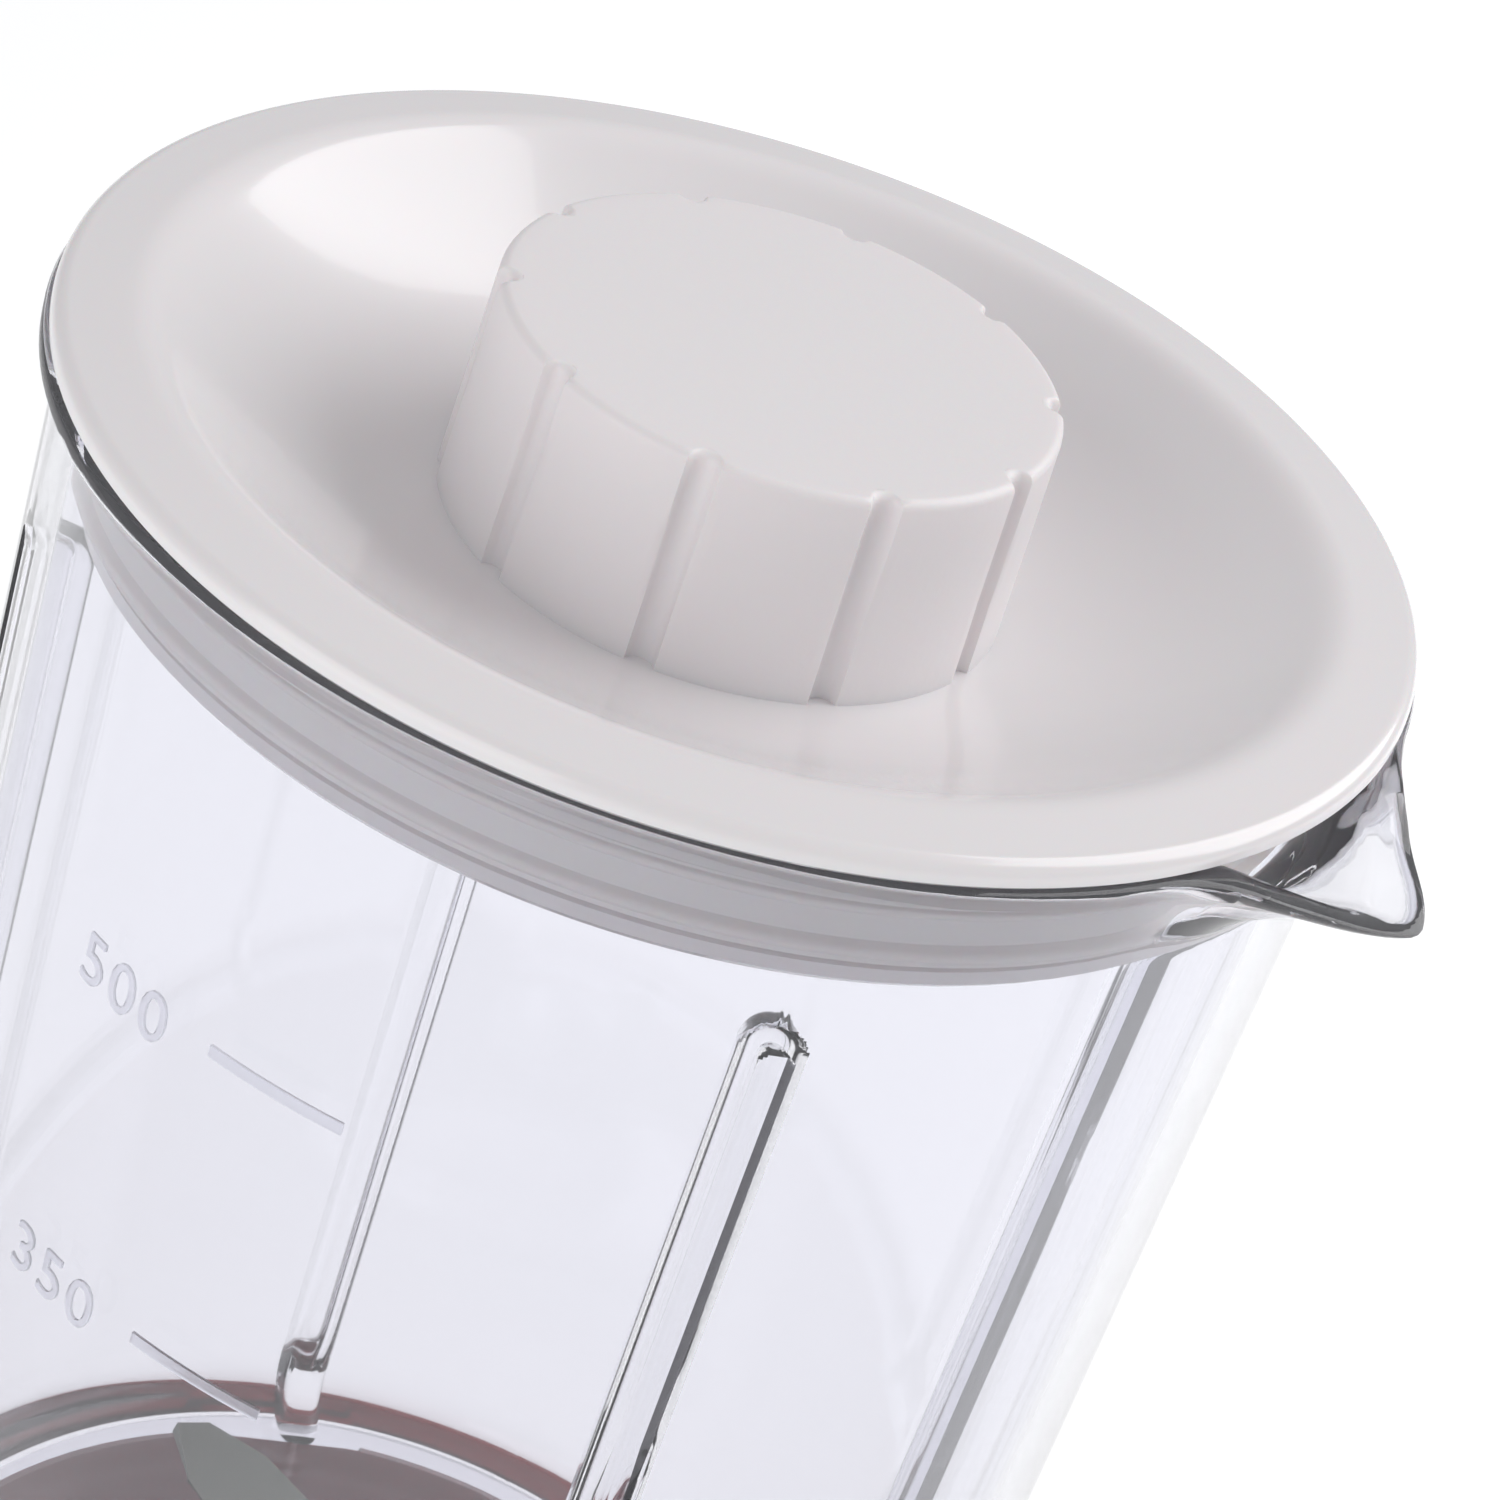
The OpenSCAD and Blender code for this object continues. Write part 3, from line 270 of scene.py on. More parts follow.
def settled(made, name):
    """Turns a working mesh into a plain one."""
    mesh = bpy.data.meshes.new(name)
    made.to_mesh(mesh)
    made.free()
    return mesh


def closed_grid(rows, closed_loop=True):
    """A mesh from rings of points. Rings join in order, and the last joins the first if asked."""
    made = bmesh.new()
    rings = [[made.verts.new(p) for p in row] for row in rows]
    pairs = list(zip(rings, rings[1:])) + ([(rings[-1], rings[0])] if closed_loop else [])
    for low, high in pairs:
        count = len(low)
        for k in range(count):
            made.faces.new((low[k], low[(k + 1) % count], high[(k + 1) % count], high[k]))
    if not closed_loop:
        made.faces.new(list(reversed(rings[0])))
        made.faces.new(rings[-1])
    bmesh.ops.recalc_face_normals(made, faces=made.faces)
    return settled(made, "made")


def revolve(profile, sides=144):
    """Turns (radius, height) points about the axis. A radius of 0 at both ends closes on the axis."""
    turns = [2 * math.pi * k / sides for k in range(sides)]
    rows = [[(r * math.cos(a), r * math.sin(a), z) for a in turns] for r, z in profile if r > 0]
    solid = profile[0][0] > 0
    return closed_grid(rows, closed_loop=solid)


def cylinder(radius, low, high, sides=96):
    """A closed cylinder about the axis."""
    return revolve([(0, low), (radius, low), (radius, high), (0, high)], sides)


def arc(cx, cy, radius, start, end, steps=6):
    """Points on an arc between two angles in degrees."""
    turns = [math.radians(start + (end - start) * i / steps) for i in range(steps + 1)]
    return [(cx + radius * math.cos(a), cy + radius * math.sin(a)) for a in turns]


def ring(turns, radius_of, z):
    """A level ring of points whose radius may change with the azimuth."""
    made = []
    for turn in turns:
        a, r = math.radians(turn), radius_of(turn)
        made.append((r * math.cos(a), r * math.sin(a), z))
    return made


def share(x):
    """A value held between 0 and 1."""
    return max(0.0, min(1.0, x))


def apart(turn, centre=0.0):
    """Degrees between two azimuths."""
    return abs((turn - centre + 180) % 360 - 180)


def cut(target, tool, operation="DIFFERENCE"):
    """Boolean of two meshes, worked out on throw-away objects."""
    pair = [bpy.data.objects.new("boolean", m) for m in (target, tool)]
    for o in pair:
        bpy.context.scene.collection.objects.link(o)
    modifier = pair[0].modifiers.new("boolean", "BOOLEAN")
    modifier.object, modifier.operation, modifier.solver = pair[1], operation, "EXACT"
    graph = bpy.context.evaluated_depsgraph_get()
    mesh = bpy.data.meshes.new_from_object(pair[0].evaluated_get(graph))
    for o in pair:
        bpy.data.objects.remove(o)
    return mesh


def grown(tree, inputs):
    """Runs a geometry-nodes tree and returns its plain mesh."""
    seed = bpy.data.objects.new("seed", bpy.data.meshes.new("seed"))
    bpy.context.scene.collection.objects.link(seed)
    modifier = seed.modifiers.new("nodes", "NODES")
    modifier.node_group = tree
    for item in tree.interface.items_tree:
        if item.item_type == "SOCKET" and item.in_out == "INPUT" and item.name in inputs:
            modifier[item.identifier] = inputs[item.name]
    graph = bpy.context.evaluated_depsgraph_get()
    mesh = bpy.data.meshes.new_from_object(seed.evaluated_get(graph))
    bpy.data.objects.remove(seed)
    return mesh


def to_dial(mesh):
    """Moves a mesh made round +Z onto the dial's axis."""
    joint = JOINTS["knob_turn"]
    tilt = math.asin(joint["axis"][2])
    turn = Matrix.Rotation(math.pi / 2 - tilt, 4, "X")
    mesh.transform(Matrix.Translation(Vector(joint["pos_m"])) @ turn)
    return mesh


# ---------------------------------------------------------------- node trees
class Grove:
    """A geometry-nodes tree in the making, with the same kind of node method."""

    def __init__(self, name, inputs):
        self.tree = bpy.data.node_groups.new(name, "GeometryNodeTree")
        face = self.tree.interface
        face.new_socket("Geometry", in_out="INPUT", socket_type="NodeSocketGeometry")
        for key, (kind, value) in inputs.items():
            socket = face.new_socket(key, in_out="INPUT", socket_type="NodeSocket" + kind)
            socket.default_value = value
        face.new_socket("Geometry", in_out="OUTPUT", socket_type="NodeSocketGeometry")
        self.given = self.tree.nodes.new("NodeGroupInput").outputs
        self.result = self.tree.nodes.new("NodeGroupOutput")

    def node(self, kind, settings=None, inputs=None, output=0):
        made = self.tree.nodes.new(kind)
        for key, value in (settings or {}).items():
            setattr(made, key, value)
        for key, value in (inputs or {}).items():
            if isinstance(value, bpy.types.NodeSocket):
                self.tree.links.new(value, made.inputs[key])
            else:
                made.inputs[key].default_value = value
        return made.outputs[output]

    def end(self, geometry, material):
        whole = self.node("GeometryNodeRealizeInstances", None, {0: geometry})
        painted = self.node("GeometryNodeSetMaterial", None, {"Geometry": whole, "Material": material})
        self.tree.links.new(painted, self.result.inputs[0])
        return self.tree


def spring_tree(material):
    """A round-wire helix with a given radius, wire, length and number of turns."""
    inputs = {"Radius": ("Float", 0.0017), "Wire": ("Float", 0.0003), "Length": ("Float", 0.0068),
              "Turns": ("Float", 5.0)}
    grove = Grove("brush_spring_coil", inputs)
    given = grove.given
    shape = {"Resolution": 20, "Rotations": given["Turns"], "Start Radius": given["Radius"],
             "End Radius": given["Radius"], "Height": given["Length"]}
    helix = grove.node("GeometryNodeCurveSpiral", None, shape)
    round_wire = {"Resolution": 8, "Radius": given["Wire"]}
    section = grove.node("GeometryNodeCurvePrimitiveCircle", None, round_wire)
    sweep = {"Curve": helix, "Profile Curve": section, "Fill Caps": True}
    return grove.end(grove.node("GeometryNodeCurveToMesh", None, sweep), material)


def ring_tree(name, material):
    """Copies of one mesh, spaced evenly on a circle and turned with it."""
    inputs = {"Copied": ("Object", None), "Count": ("Int", 4), "Radius": ("Float", 0.05),
              "Turn": ("Float", 0.0)}
    grove = Grove(name, inputs)
    given = grove.given
    circle = {"Vertices": given["Count"], "Radius": given["Radius"]}
    points = grove.node("GeometryNodeMeshCircle", None, circle)
    shape = grove.node("GeometryNodeObjectInfo", None, {"Object": given["Copied"]}, output="Geometry")
    index = grove.node("GeometryNodeInputIndex")
    step = grove.node("ShaderNodeMath", {"operation": "DIVIDE"}, {0: 2 * math.pi, 1: given["Count"]})
    angle = grove.node("ShaderNodeMath", {"operation": "MULTIPLY"}, {0: index, 1: step})
    facing = grove.node("ShaderNodeCombineXYZ", None, {"Z": angle})
    placed = {"Points": points, "Instance": shape, "Rotation": facing}
    copies = grove.node("GeometryNodeInstanceOnPoints", None, placed)
    whole = grove.node("ShaderNodeCombineXYZ", None, {"Z": given["Turn"]})
    turned = grove.node("GeometryNodeTransform", None, {"Geometry": copies, "Rotation": whole})
    return grove.end(turned, material)


def ring_of(tree, mesh, count, radius, turn=0.0):
    """Runs ring_tree on one mesh."""
    model = bpy.data.objects.new("model", mesh)
    bpy.context.scene.collection.objects.link(model)
    made = grown(tree, {"Copied": model, "Count": count, "Radius": radius, "Turn": turn})
    bpy.data.objects.remove(model)
    return made


# ---------------------------------------------------------------- settings
class JarLooks(bpy.types.PropertyGroup):
    wall: bpy.props.FloatProperty(
        name="Wall", description="Thickness of the jar's wall",
        default=0.0024, unit="LENGTH")
    taper: bpy.props.FloatProperty(
        name="Taper", description="Change of radius for each metre of height",
        default=0.019)
    bead: bpy.props.FloatProperty(
        name="Rim bead", description="How far the rim stands out from the wall",
        default=0.0016, unit="LENGTH")
    rib_depth: bpy.props.FloatProperty(
        name="Rib depth", description="How far a rib stands into the jar",
        default=0.003, unit="LENGTH")
    rib_width: bpy.props.FloatProperty(
        name="Rib width", description="Width of a rib",
        default=0.0046, unit="LENGTH")
    rib_top: bpy.props.FloatProperty(
        name="Rib top", description="Height from a rib's end to the rim",
        default=0.014, unit="LENGTH")
    spout_height: bpy.props.FloatProperty(
        name="Spout height", description="Height over which the spout leaves the wall",
        default=0.0076, unit="LENGTH")
    colour: bpy.props.FloatVectorProperty(
        name="Colour", description="Tint of the clear plastic",
        subtype="COLOR", default=(0.935, 0.935, 0.975))


class LidLooks(bpy.types.PropertyGroup):
    ring: bpy.props.FloatProperty(
        name="Ring", description="Width of the flat ring",
        default=0.006, unit="LENGTH")
    wall: bpy.props.FloatProperty(
        name="Wall", description="Thickness of the lid",
        default=0.0018, unit="LENGTH")
    colour: bpy.props.FloatVectorProperty(
        name="Colour", description="Colour of the lid",
        subtype="COLOR", default=(0.80, 0.765, 0.775))
    flutes: bpy.props.IntProperty(
        name="Flutes", description="Number of grip flutes on the cap",
        default=10, min=3)
    flute_depth: bpy.props.FloatProperty(
        name="Flute depth", description="Depth of a grip flute",
        default=0.0009, unit="LENGTH")


class BaseLooks(bpy.types.PropertyGroup):
    wall: bpy.props.FloatProperty(
        name="Wall", description="Thickness of the housing",
        default=0.0026, unit="LENGTH")
    flare: bpy.props.FloatProperty(
        name="Flare", description="How sharply the housing flares towards its foot",
        default=2.4)
    colour: bpy.props.FloatVectorProperty(
        name="Colour", description="Colour of the base",
        subtype="COLOR", default=(0.26, 0.010, 0.016))
    mark_colour: bpy.props.FloatVectorProperty(
        name="Marks", description="Colour of the dial's numbers",
        subtype="COLOR", default=(0.10, 0.09, 0.10))


class StageLooks(bpy.types.PropertyGroup):
    lens: bpy.props.FloatProperty(
        name="Lens", description="Focal length for a 36 mm wide sensor, in millimetres",
        default=111.76)
    distance: bpy.props.FloatProperty(
        name="Distance", description="From the camera to the middle of the lid",
        default=0.3170, unit="LENGTH")
    azimuth: bpy.props.FloatProperty(
        name="Azimuth", description="Camera's turn about the axis",
        default=math.radians(28), subtype="ANGLE")
    elevation: bpy.props.FloatProperty(
        name="Elevation", description="Camera's height above the horizon",
        default=0.4873325, subtype="ANGLE")
    roll: bpy.props.FloatProperty(
        name="Roll", description="Camera's turn about its own line of sight",
        default=0.3227332, subtype="ANGLE")
    floor_colour: bpy.props.FloatVectorProperty(
        name="Floor", description="Colour of the floor",
        subtype="COLOR", default=(0.93, 0.93, 0.93))


def looks(name):
    return getattr(bpy.context.scene, "maker_" + name)


def paint(names, material):
    """Gives CAD nodes a finish."""
    for name in names:
        mesh = NODES[name].data
        mesh.materials.clear()
        mesh.materials.append(material)


# ---------------------------------------------------------------- jar
# SPOUT_PLAN and SPOUT_DIP hold pairs of degrees from the spout's middle and millimetres.
RIB_TURNS = (45, 135, 225, 315)
SPOUT_PLAN = ((0, 10.2), (3.1, 8.5), (7.1, 4.9), (11.4, 2.3), (15.5, 0.6), (19, 0), (24, 0))
SPOUT_DIP = ((0, 2.9), (3.1, 2.5), (7.1, 1.7), (11.4, 0.6), (17, 0), (30, 0))
SCALE_FOOT, SCALE_STEP = 0.0188, 0.0251
SCALE_NUMBERS = ("200", "350", "500")
NUMBER_TURN, BAR_TURN = -98.5, -82
BAR_SIZE = (0.0104, 0.0009, 0.0003)
KEY_HEIGHT, KEY_DEPTH, KEY_HALF_TURN = 0.009, 0.0018, 8.95
FLOOR_FILLET = 0.004
SPINDLE_HOLE_R = 0.0084


def along(table, x):
    """Smooth reading of a table of (x, y) pairs, with level ends."""
    if x >= table[-1][0]:
        return table[-1][1]
    for (x0, y0), (x1, y1) in zip(table, table[1:]):
        if x <= x1:
            t = (x - x0) / (x1 - x0)
            return y0 + (y1 - y0) * t
    return 0.0


def soft_reading(table, x, blur=1.2):
    """The table read at several nearby places, which rounds its corners."""
    spots = [abs(x + blur * k / 3) for k in range(-3, 4)]
    return sum(along(table, s) for s in spots) / len(spots)


def off_rib(turn):
    """Degrees to the nearest rib."""
    return min(apart(turn, rib) for rib in RIB_TURNS)


def jar_turns():
    """Azimuths in degrees: close together at the ribs and at the spout."""
    made = set()
    made.update(round(k * 2.5, 3) for k in range(144))
    made.update(round((k * 0.8) % 360, 3) for k in range(-32, 33))
    for rib in RIB_TURNS:
        made.update(round(rib + k * 0.3, 3) for k in range(-12, 13))
        made.update(round(rib + k, 3) for k in (-9.3, -9.0, -8.9, 8.9, 9.0, 9.3))
    ordered = sorted(made)
    return [a for i, a in enumerate(ordered) if i == 0 or a - ordered[i - 1] > 0.08]


class JarShape:
    """Radius of the jar's two skins at any azimuth and height, in metres."""

    def __init__(self, settings):
        self.s = settings
        self.top_r = RIM_R - settings.bead
        self.rib_top = RIM_Z - settings.rib_top
        self.turns = jar_turns()

    def wall_out(self, z):
        return self.top_r - self.s.taper * (RIM_Z - z)

    def groove(self, turn, z, half, low):
        """1 in the middle of a rib, 0 outside it, with a round upper end."""
        if z > self.rib_top or z < low:
            return 0.0
        side = math.radians(off_rib(turn)) * self.wall_out(z)
        centre = self.rib_top - self.s.rib_width / 2
        reach = math.hypot(side, max(0.0, z - centre)) / half
        return math.sqrt(max(0.0, 1 - reach ** 4)) if reach < 1 else 0.0

    def rise(self, z):
        """0 below the spout and 1 at the rim."""
        return share((z - (RIM_Z - self.s.spout_height)) / self.s.spout_height)

    def spout(self, turn, z):
        """How far the spout moves the wall outwards."""
        return soft_reading(SPOUT_PLAN, apart(turn)) * MM * self.rise(z) ** 1.25

    def dip(self, turn, z):
        """How far the spout's edge sinks below the rim."""
        return soft_reading(SPOUT_DIP, apart(turn)) * MM * self.rise(z)

    def outside(self, turn, z, proud=0.0):
        half = self.s.rib_width / 2 - 0.0011
        deep = self.s.rib_depth + self.s.wall - 0.0015
        fade = share((z - FLOOR_TOP - 0.002) / 0.008)
        pressed = self.groove(turn, z, half, FLOOR_TOP + 0.002) * deep * fade * (2 - fade)
        return self.wall_out(z) - pressed + self.spout(turn, z) * (0.92 if proud else 1.0) + proud

    def inside(self, turn, z, back=0.0):
        rib = self.groove(turn, z, self.s.rib_width / 2, FLOOR_TOP - 0.01) * self.s.rib_depth
        return self.wall_out(z) - self.s.wall - rib + self.spout(turn, z) * 0.95 - back

    def ring(self, radius_of, z):
        made = []
        for turn in self.turns:
            a, r = math.radians(turn), radius_of(turn)
            made.append((r * math.cos(a), r * math.sin(a), z - self.dip(turn, z)))
        return made


def levels(*stretches):
    """Heights from stretches of (start, end, step)."""
    made = []
    for start, end, step in stretches:
        count = max(1, round(abs(end - start) / step))
        made += [start + (end - start) * k / count for k in range(count)]
    return made + [stretches[-1][1]]


def jar_mesh(settings):
    """The jar in one closed skin: up the outside, over the rim, down the inside, across the floor."""
    shape = JarShape(settings)
    wall, bead = settings.wall, settings.bead
    foot_out = shape.wall_out(SEAT_Z)
    foot_in = foot_out - wall
    key_top = SEAT_Z + KEY_HEIGHT
    floor, corner = FLOOR_TOP + 0.001, FLOOR_TOP + 0.010
    rib_start, rib_end = shape.rib_top - 0.0026, shape.rib_top + 0.0002
    neck, lip = RIM_Z - 0.0085, RIM_Z - 0.0024
    up = levels((SEAT_Z + 0.0008, floor, 0.004), (floor, corner, 0.001), (corner, rib_start, 0.006),
                (rib_start, rib_end, 0.00022), (rib_end, neck, 0.002), (neck, lip, 0.0006))
    down = levels((lip, neck, 0.0006), (neck, rib_end, 0.002), (rib_end, rib_start, 0.00022),
                  (rib_start, FLOOR_TOP + FLOOR_FILLET, 0.006))
    over = ((0.0018, 0.3), (0.0015, 0.75), (0.0012, 1.0), (0.0005, 1.0), (0.0002, 0.86), (0.0, 0.55))
    rows = [shape.ring(lambda t: foot_out - 0.0006, SEAT_Z)]
    rows += [shape.ring(lambda t, z=z: shape.outside(t, z), z) for z in up]
    for drop, proud in over:
        z = RIM_Z - drop
        rows.append(shape.ring(lambda t, z=z, p=proud: shape.outside(t, z, bead * p), z))
    for drop, back in ((0.0, -0.0012), (0.0, -0.0006), (0.0003, -0.0002), (0.0009, 0.0)):
        z = RIM_Z - drop
        rows.append(shape.ring(lambda t, z=z, b=back: shape.inside(t, z, b), z))
    rows += [shape.ring(lambda t, z=z: shape.inside(t, z), z) for z in down]
    for back, z in arc(FLOOR_FILLET, FLOOR_TOP + FLOOR_FILLET, FLOOR_FILLET, 195, 270, 6):
        rows.append(shape.ring(lambda t, b=back, z=z: shape.inside(t, z) - b, z))
    for radius in (0.036, 0.030, 0.022, 0.015, SPINDLE_HOLE_R):
        rows.append(shape.ring(lambda t, r=radius: r, FLOOR_TOP))
    for radius in (SPINDLE_HOLE_R, 0.016, 0.028, foot_in - 0.0016):
        rows.append(shape.ring(lambda t, r=radius: r, FLOOR_BOT))

    def foot(turn, z):
        keyed = off_rib(turn) < KEY_HALF_TURN and z < key_top + 1e-6
        return foot_in - (KEY_DEPTH if keyed else 0.0)

    rows.append(shape.ring(lambda t: foot_in, FLOOR_BOT - 0.0016))
    for z in (key_top + 0.0003, key_top, SEAT_Z + 0.004, SEAT_Z):
        rows.append(shape.ring(lambda t, z=z: foot(t, z), z))
    return closed_grid(rows)


def lettering(text, height, thickness):
    """Raised lettering lying in the XY plane, its middle on the origin."""
    curve = bpy.data.curves.new("letters", "FONT")
    curve.body, curve.size, curve.extrude = text, height * 1.38, thickness / 2
    curve.align_x, curve.align_y, curve.space_character = "CENTER", "CENTER", 1.12
    curve.resolution_u = 4
    carrier = bpy.data.objects.new("letters", curve)
    bpy.context.scene.collection.objects.link(carrier)
    graph = bpy.context.evaluated_depsgraph_get()
    mesh = bpy.data.meshes.new_from_object(carrier.evaluated_get(graph))
    bpy.data.objects.remove(carrier)
    return mesh


def wrapped(mesh, turn, z, radius_of):
    """Bends a flat mesh onto the jar: x runs round it, y up it, z out of it."""
    for v in mesh.vertices:
        height = z + v.co.y
        radius = radius_of(height)
        a = math.radians(turn) + v.co.x / radius
        out = radius + v.co.z
        v.co = (out * math.cos(a), out * math.sin(a), height)
    return mesh


def bar_mesh():
    """One flat bar of the scale, its middle on the origin."""
    made = bmesh.new()
    bmesh.ops.create_grid(made, x_segments=16, y_segments=1, size=0.5)
    solid = bmesh.ops.extrude_face_region(made, geom=made.faces[:])
    moved = [v for v in solid["geom"] if isinstance(v, bmesh.types.BMVert)]
    bmesh.ops.translate(made, verts=moved, vec=(0, 0, 1))
    bmesh.ops.transform(made, verts=made.verts, matrix=Matrix.Diagonal((*BAR_SIZE, 1)))
    bmesh.ops.translate(made, verts=made.verts, vec=(0, 0, -BAR_SIZE[2] / 2))
    return settled(made, "bar")


def merged(meshes):
    """Several meshes as one, with their doubled points joined."""
    made = bmesh.new()
    for mesh in meshes:
        made.from_mesh(mesh)
    bmesh.ops.remove_doubles(made, verts=made.verts, dist=1e-7)
    bmesh.ops.recalc_face_normals(made, faces=made.faces)
    return settled(made, "merged")


class OBJECT_OT_blender_jar(bpy.types.Operator):
    """Builds the clear jar with its ribs, spout, rim and raised scale"""

    bl_idname = "object.blender_jar"
    bl_label = "Jar"

    def execute(self, context):
        settings = looks("jar")
        finish = clear_jar_finish(settings.colour)
        add_piece("clear_jar", jar_mesh(settings), "jar", "clear_plastic", finish, "jar",
                  sharp=math.radians(40))
        shape = JarShape(settings)
        raised = []
        for count, number in enumerate(SCALE_NUMBERS, 1):
            z = FLOOR_TOP + SCALE_FOOT + count * SCALE_STEP
            letters = lettering(number, 0.004, BAR_SIZE[2])
            raised.append(wrapped(letters, NUMBER_TURN, z - 0.001, shape.wall_out))
            raised.append(wrapped(bar_mesh(), BAR_TURN, z, shape.wall_out))
        add_piece("jar_scale", merged(raised), "jar", "clear_plastic", embossed_finish(settings.colour))
        return {"FINISHED"}


# ---------------------------------------------------------------- lid
def lid_top(settings):
    """The lid's upper skin from the hub out to the flange, as (radius, height over the rim)."""
    edge, edge_round, soft, steps = LID_HIGH.y, 0.0012, 0.0006, 60
    crease = edge - settings.ring
    dish = CAP_HIGH.y + 0.001
    high = FLANGE_TOP + 0.001
    made = []
    for k in range(steps + 1):
        r = dish + (edge - edge_round - dish) * k / steps
        t = min(1.0, (r - dish) / (crease - dish))
        bowl = HUB_TOP + (high - HUB_TOP) * t ** 1.7
        bowl += max(0.0, r - crease) * 0.73
        flat = high - max(0.0, r - crease + 0.002) * 0.13
        gap = max(-1.0, min(1.0, (bowl - flat) / (2 * soft)))
        made.append((r, min(bowl, flat) - soft * (1 - abs(gap)) ** 2 * 0.5))
    return made + arc(edge - edge_round, made[-1][1] - edge_round, edge_round, 80, 0, 7)


def lid_profile(settings):
    """The lid's closed outline: upper skin, flange, grooved skirt, underside and the cap's collar."""
    wall, out, low = settings.wall, SKIRT_R, -SKIRT_DEPTH
    skin = lid_top(settings)
    edge = LID_HIGH.y
    groove, inner = out - 0.0007, out - wall
    hole = CAP_HIGH.y - 0.0022
    outline = [(hole, HUB_TOP)] + skin
    outline += [(edge, 0.0003), (edge - 0.0003, 0.0), (out, 0.0), (out, -0.0022), (groove, -0.0026),
                (groove, -0.009), (out, -0.0094), (out, 0.0006 + low), (out - 0.0006, low), (inner, low),
                (inner, -wall)]
    under = [(r, z - wall) for r, z in skin if r < inner - 0.0006 and z < 0.005]
    outline += list(reversed(under))
    outline += [(hole + wall, HUB_TOP - wall), (hole + wall, HUB_UNDER), (hole, HUB_UNDER)]
    return [(r, RIM_Z + z) for r, z in outline]


def cap_mesh(settings):
    """The fluted cap: a hollow cup whose neck drops through the lid."""
    low, high = CAP_LOW.z, CAP_HIGH.z
    foot = LID_LOW.z + SKIRT_DEPTH + HUB_TOP
    foot_r, draft, edge_round, top_wall = CAP_HIGH.y, 0.00045, 0.0007, 0.002
    neck = foot_r - 0.0026
    bore = neck - 0.0018
    count, first, flute_half = settings.flutes, 3, 0.00105
    pitch = 360 / count
    turns = []
    for k in range(count):
        middle = first + k * 360 / count
        turns += [middle + d for d in (-3.4, -3.0, -2.5, -2.0, -1.5, -1.0, -0.5, 0, 0.5, 1.0, 1.5, 2.0, 2.5,
                                       3.0, 3.4)]
        turns += [middle + pitch * (0.5 + d) for d in (-0.34, -0.22, -0.1, 0.02, 0.14, 0.26, 0.36)]
    turns.sort()

    def fluted(turn, z):
        off = (turn - first + 180 / count) % pitch - 180 / count
        radius = foot_r - draft * (z - foot) / (high - foot)
        side = math.radians(abs(off)) * radius / flute_half
        return radius - settings.flute_depth * (math.sqrt(max(0, 1 - side * side)) if side < 1 else 0.0)

    inside = ((0.002, high - top_wall), (bore - 0.003, high - top_wall), (bore, high - 0.005), (bore, low),
              (neck, low), (neck, foot + 1e-5))
    side = levels((foot + 1e-5, foot + 0.0004, 0.0002), (foot + 0.0004, high - edge_round, 0.0025))
    rows = [ring(turns, lambda t, r=r: r, z) for r, z in inside]
    rows += [ring(turns, lambda t, z=z: fluted(t, z), z) for z in side]
    for back, z in arc(-edge_round, high - edge_round, edge_round, 15, 90, 6):
        rows.append(ring(turns, lambda t, b=back, z=z: fluted(t, z) + b, z))
    for part in (0.9, 0.6, 0.3, 0.05):
        rows.append(ring(turns, lambda t, p=part: foot_r * p, high))
    return closed_grid(rows, closed_loop=False)


def seal_profile():
    """Soft ring with two fine lips."""
    low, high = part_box("lid_seal")
    inner, outer = 0.0423, high.y
    body = outer - 0.00055
    span = high.z - low.z
    outline = [(inner, high.z), (body, high.z)]
    for part in (0.26, 0.82):
        middle = high.z - span * part
        lip = arc(body, middle, outer - body, 70, -70, 6)
        outline += [(body, middle + 0.0007), *lip, (body, middle - 0.0007)]
    return outline + [(body, low.z), (inner, low.z)]


class OBJECT_OT_blender_lid(bpy.types.Operator):
    """Builds the lid, its seal and the fluted filler cap"""

    bl_idname = "object.blender_lid"
    bl_label = "Lid and cap"

    def execute(self, context):
        settings = looks("lid")
        depth = {"Subsurface_Weight": 0.12, "Subsurface_Scale": 0.004}
        gloss = moulded("lid_gloss_white", settings.colour, 0.2, 300.0, 0.02, 0.05, 0.015, Coat_Weight=0.4,
                        Coat_Roughness=0.06, **depth)
        matt = moulded("cap_fine_matt_white", settings.colour, 0.42, 1400.0, 0.10, 0.08, 0.015, **depth)
        soft = moulded("seal_silicone", (0.90, 0.84, 0.83), 0.38, 500.0, 0.05, Subsurface_Weight=0.2,
                       Subsurface_Scale=0.003)
        add_piece("dished_lid", revolve(lid_profile(settings), 240), "lid", "white_gloss", gloss, "lid")
        add_piece("lipped_seal", revolve(seal_profile(), 192), "lid", "silicone", soft, "lid_seal")
        add_piece("fluted_cap", cap_mesh(settings), "cap", "white_matt", matt, "filler_cap",
                  sharp=math.radians(38))
        return {"FINISHED"}


# ---------------------------------------------------------------- base
STRAIGHT_BAND = 0.0044
SLOT_SIZE, SLOT_PITCH, SLOT_RISE = (0.0024, 0.08, 0.030), 0.0062, 0.037
FOOT_R = 0.008


def house_radius(settings, z):
    """The housing's outside radius: straight at the foot, then drawn in to the seat."""
    low = HOUSE_LOW.z + STRAIGHT_BAND
    high = HOUSE_HIGH.z
    foot, top = HOUSE_HIGH.y, SEAT_HIGH.y
    if z <= low:
        return foot
    return top + (foot - top) * (1 - (z - low) / (high - low)) ** settings.flare


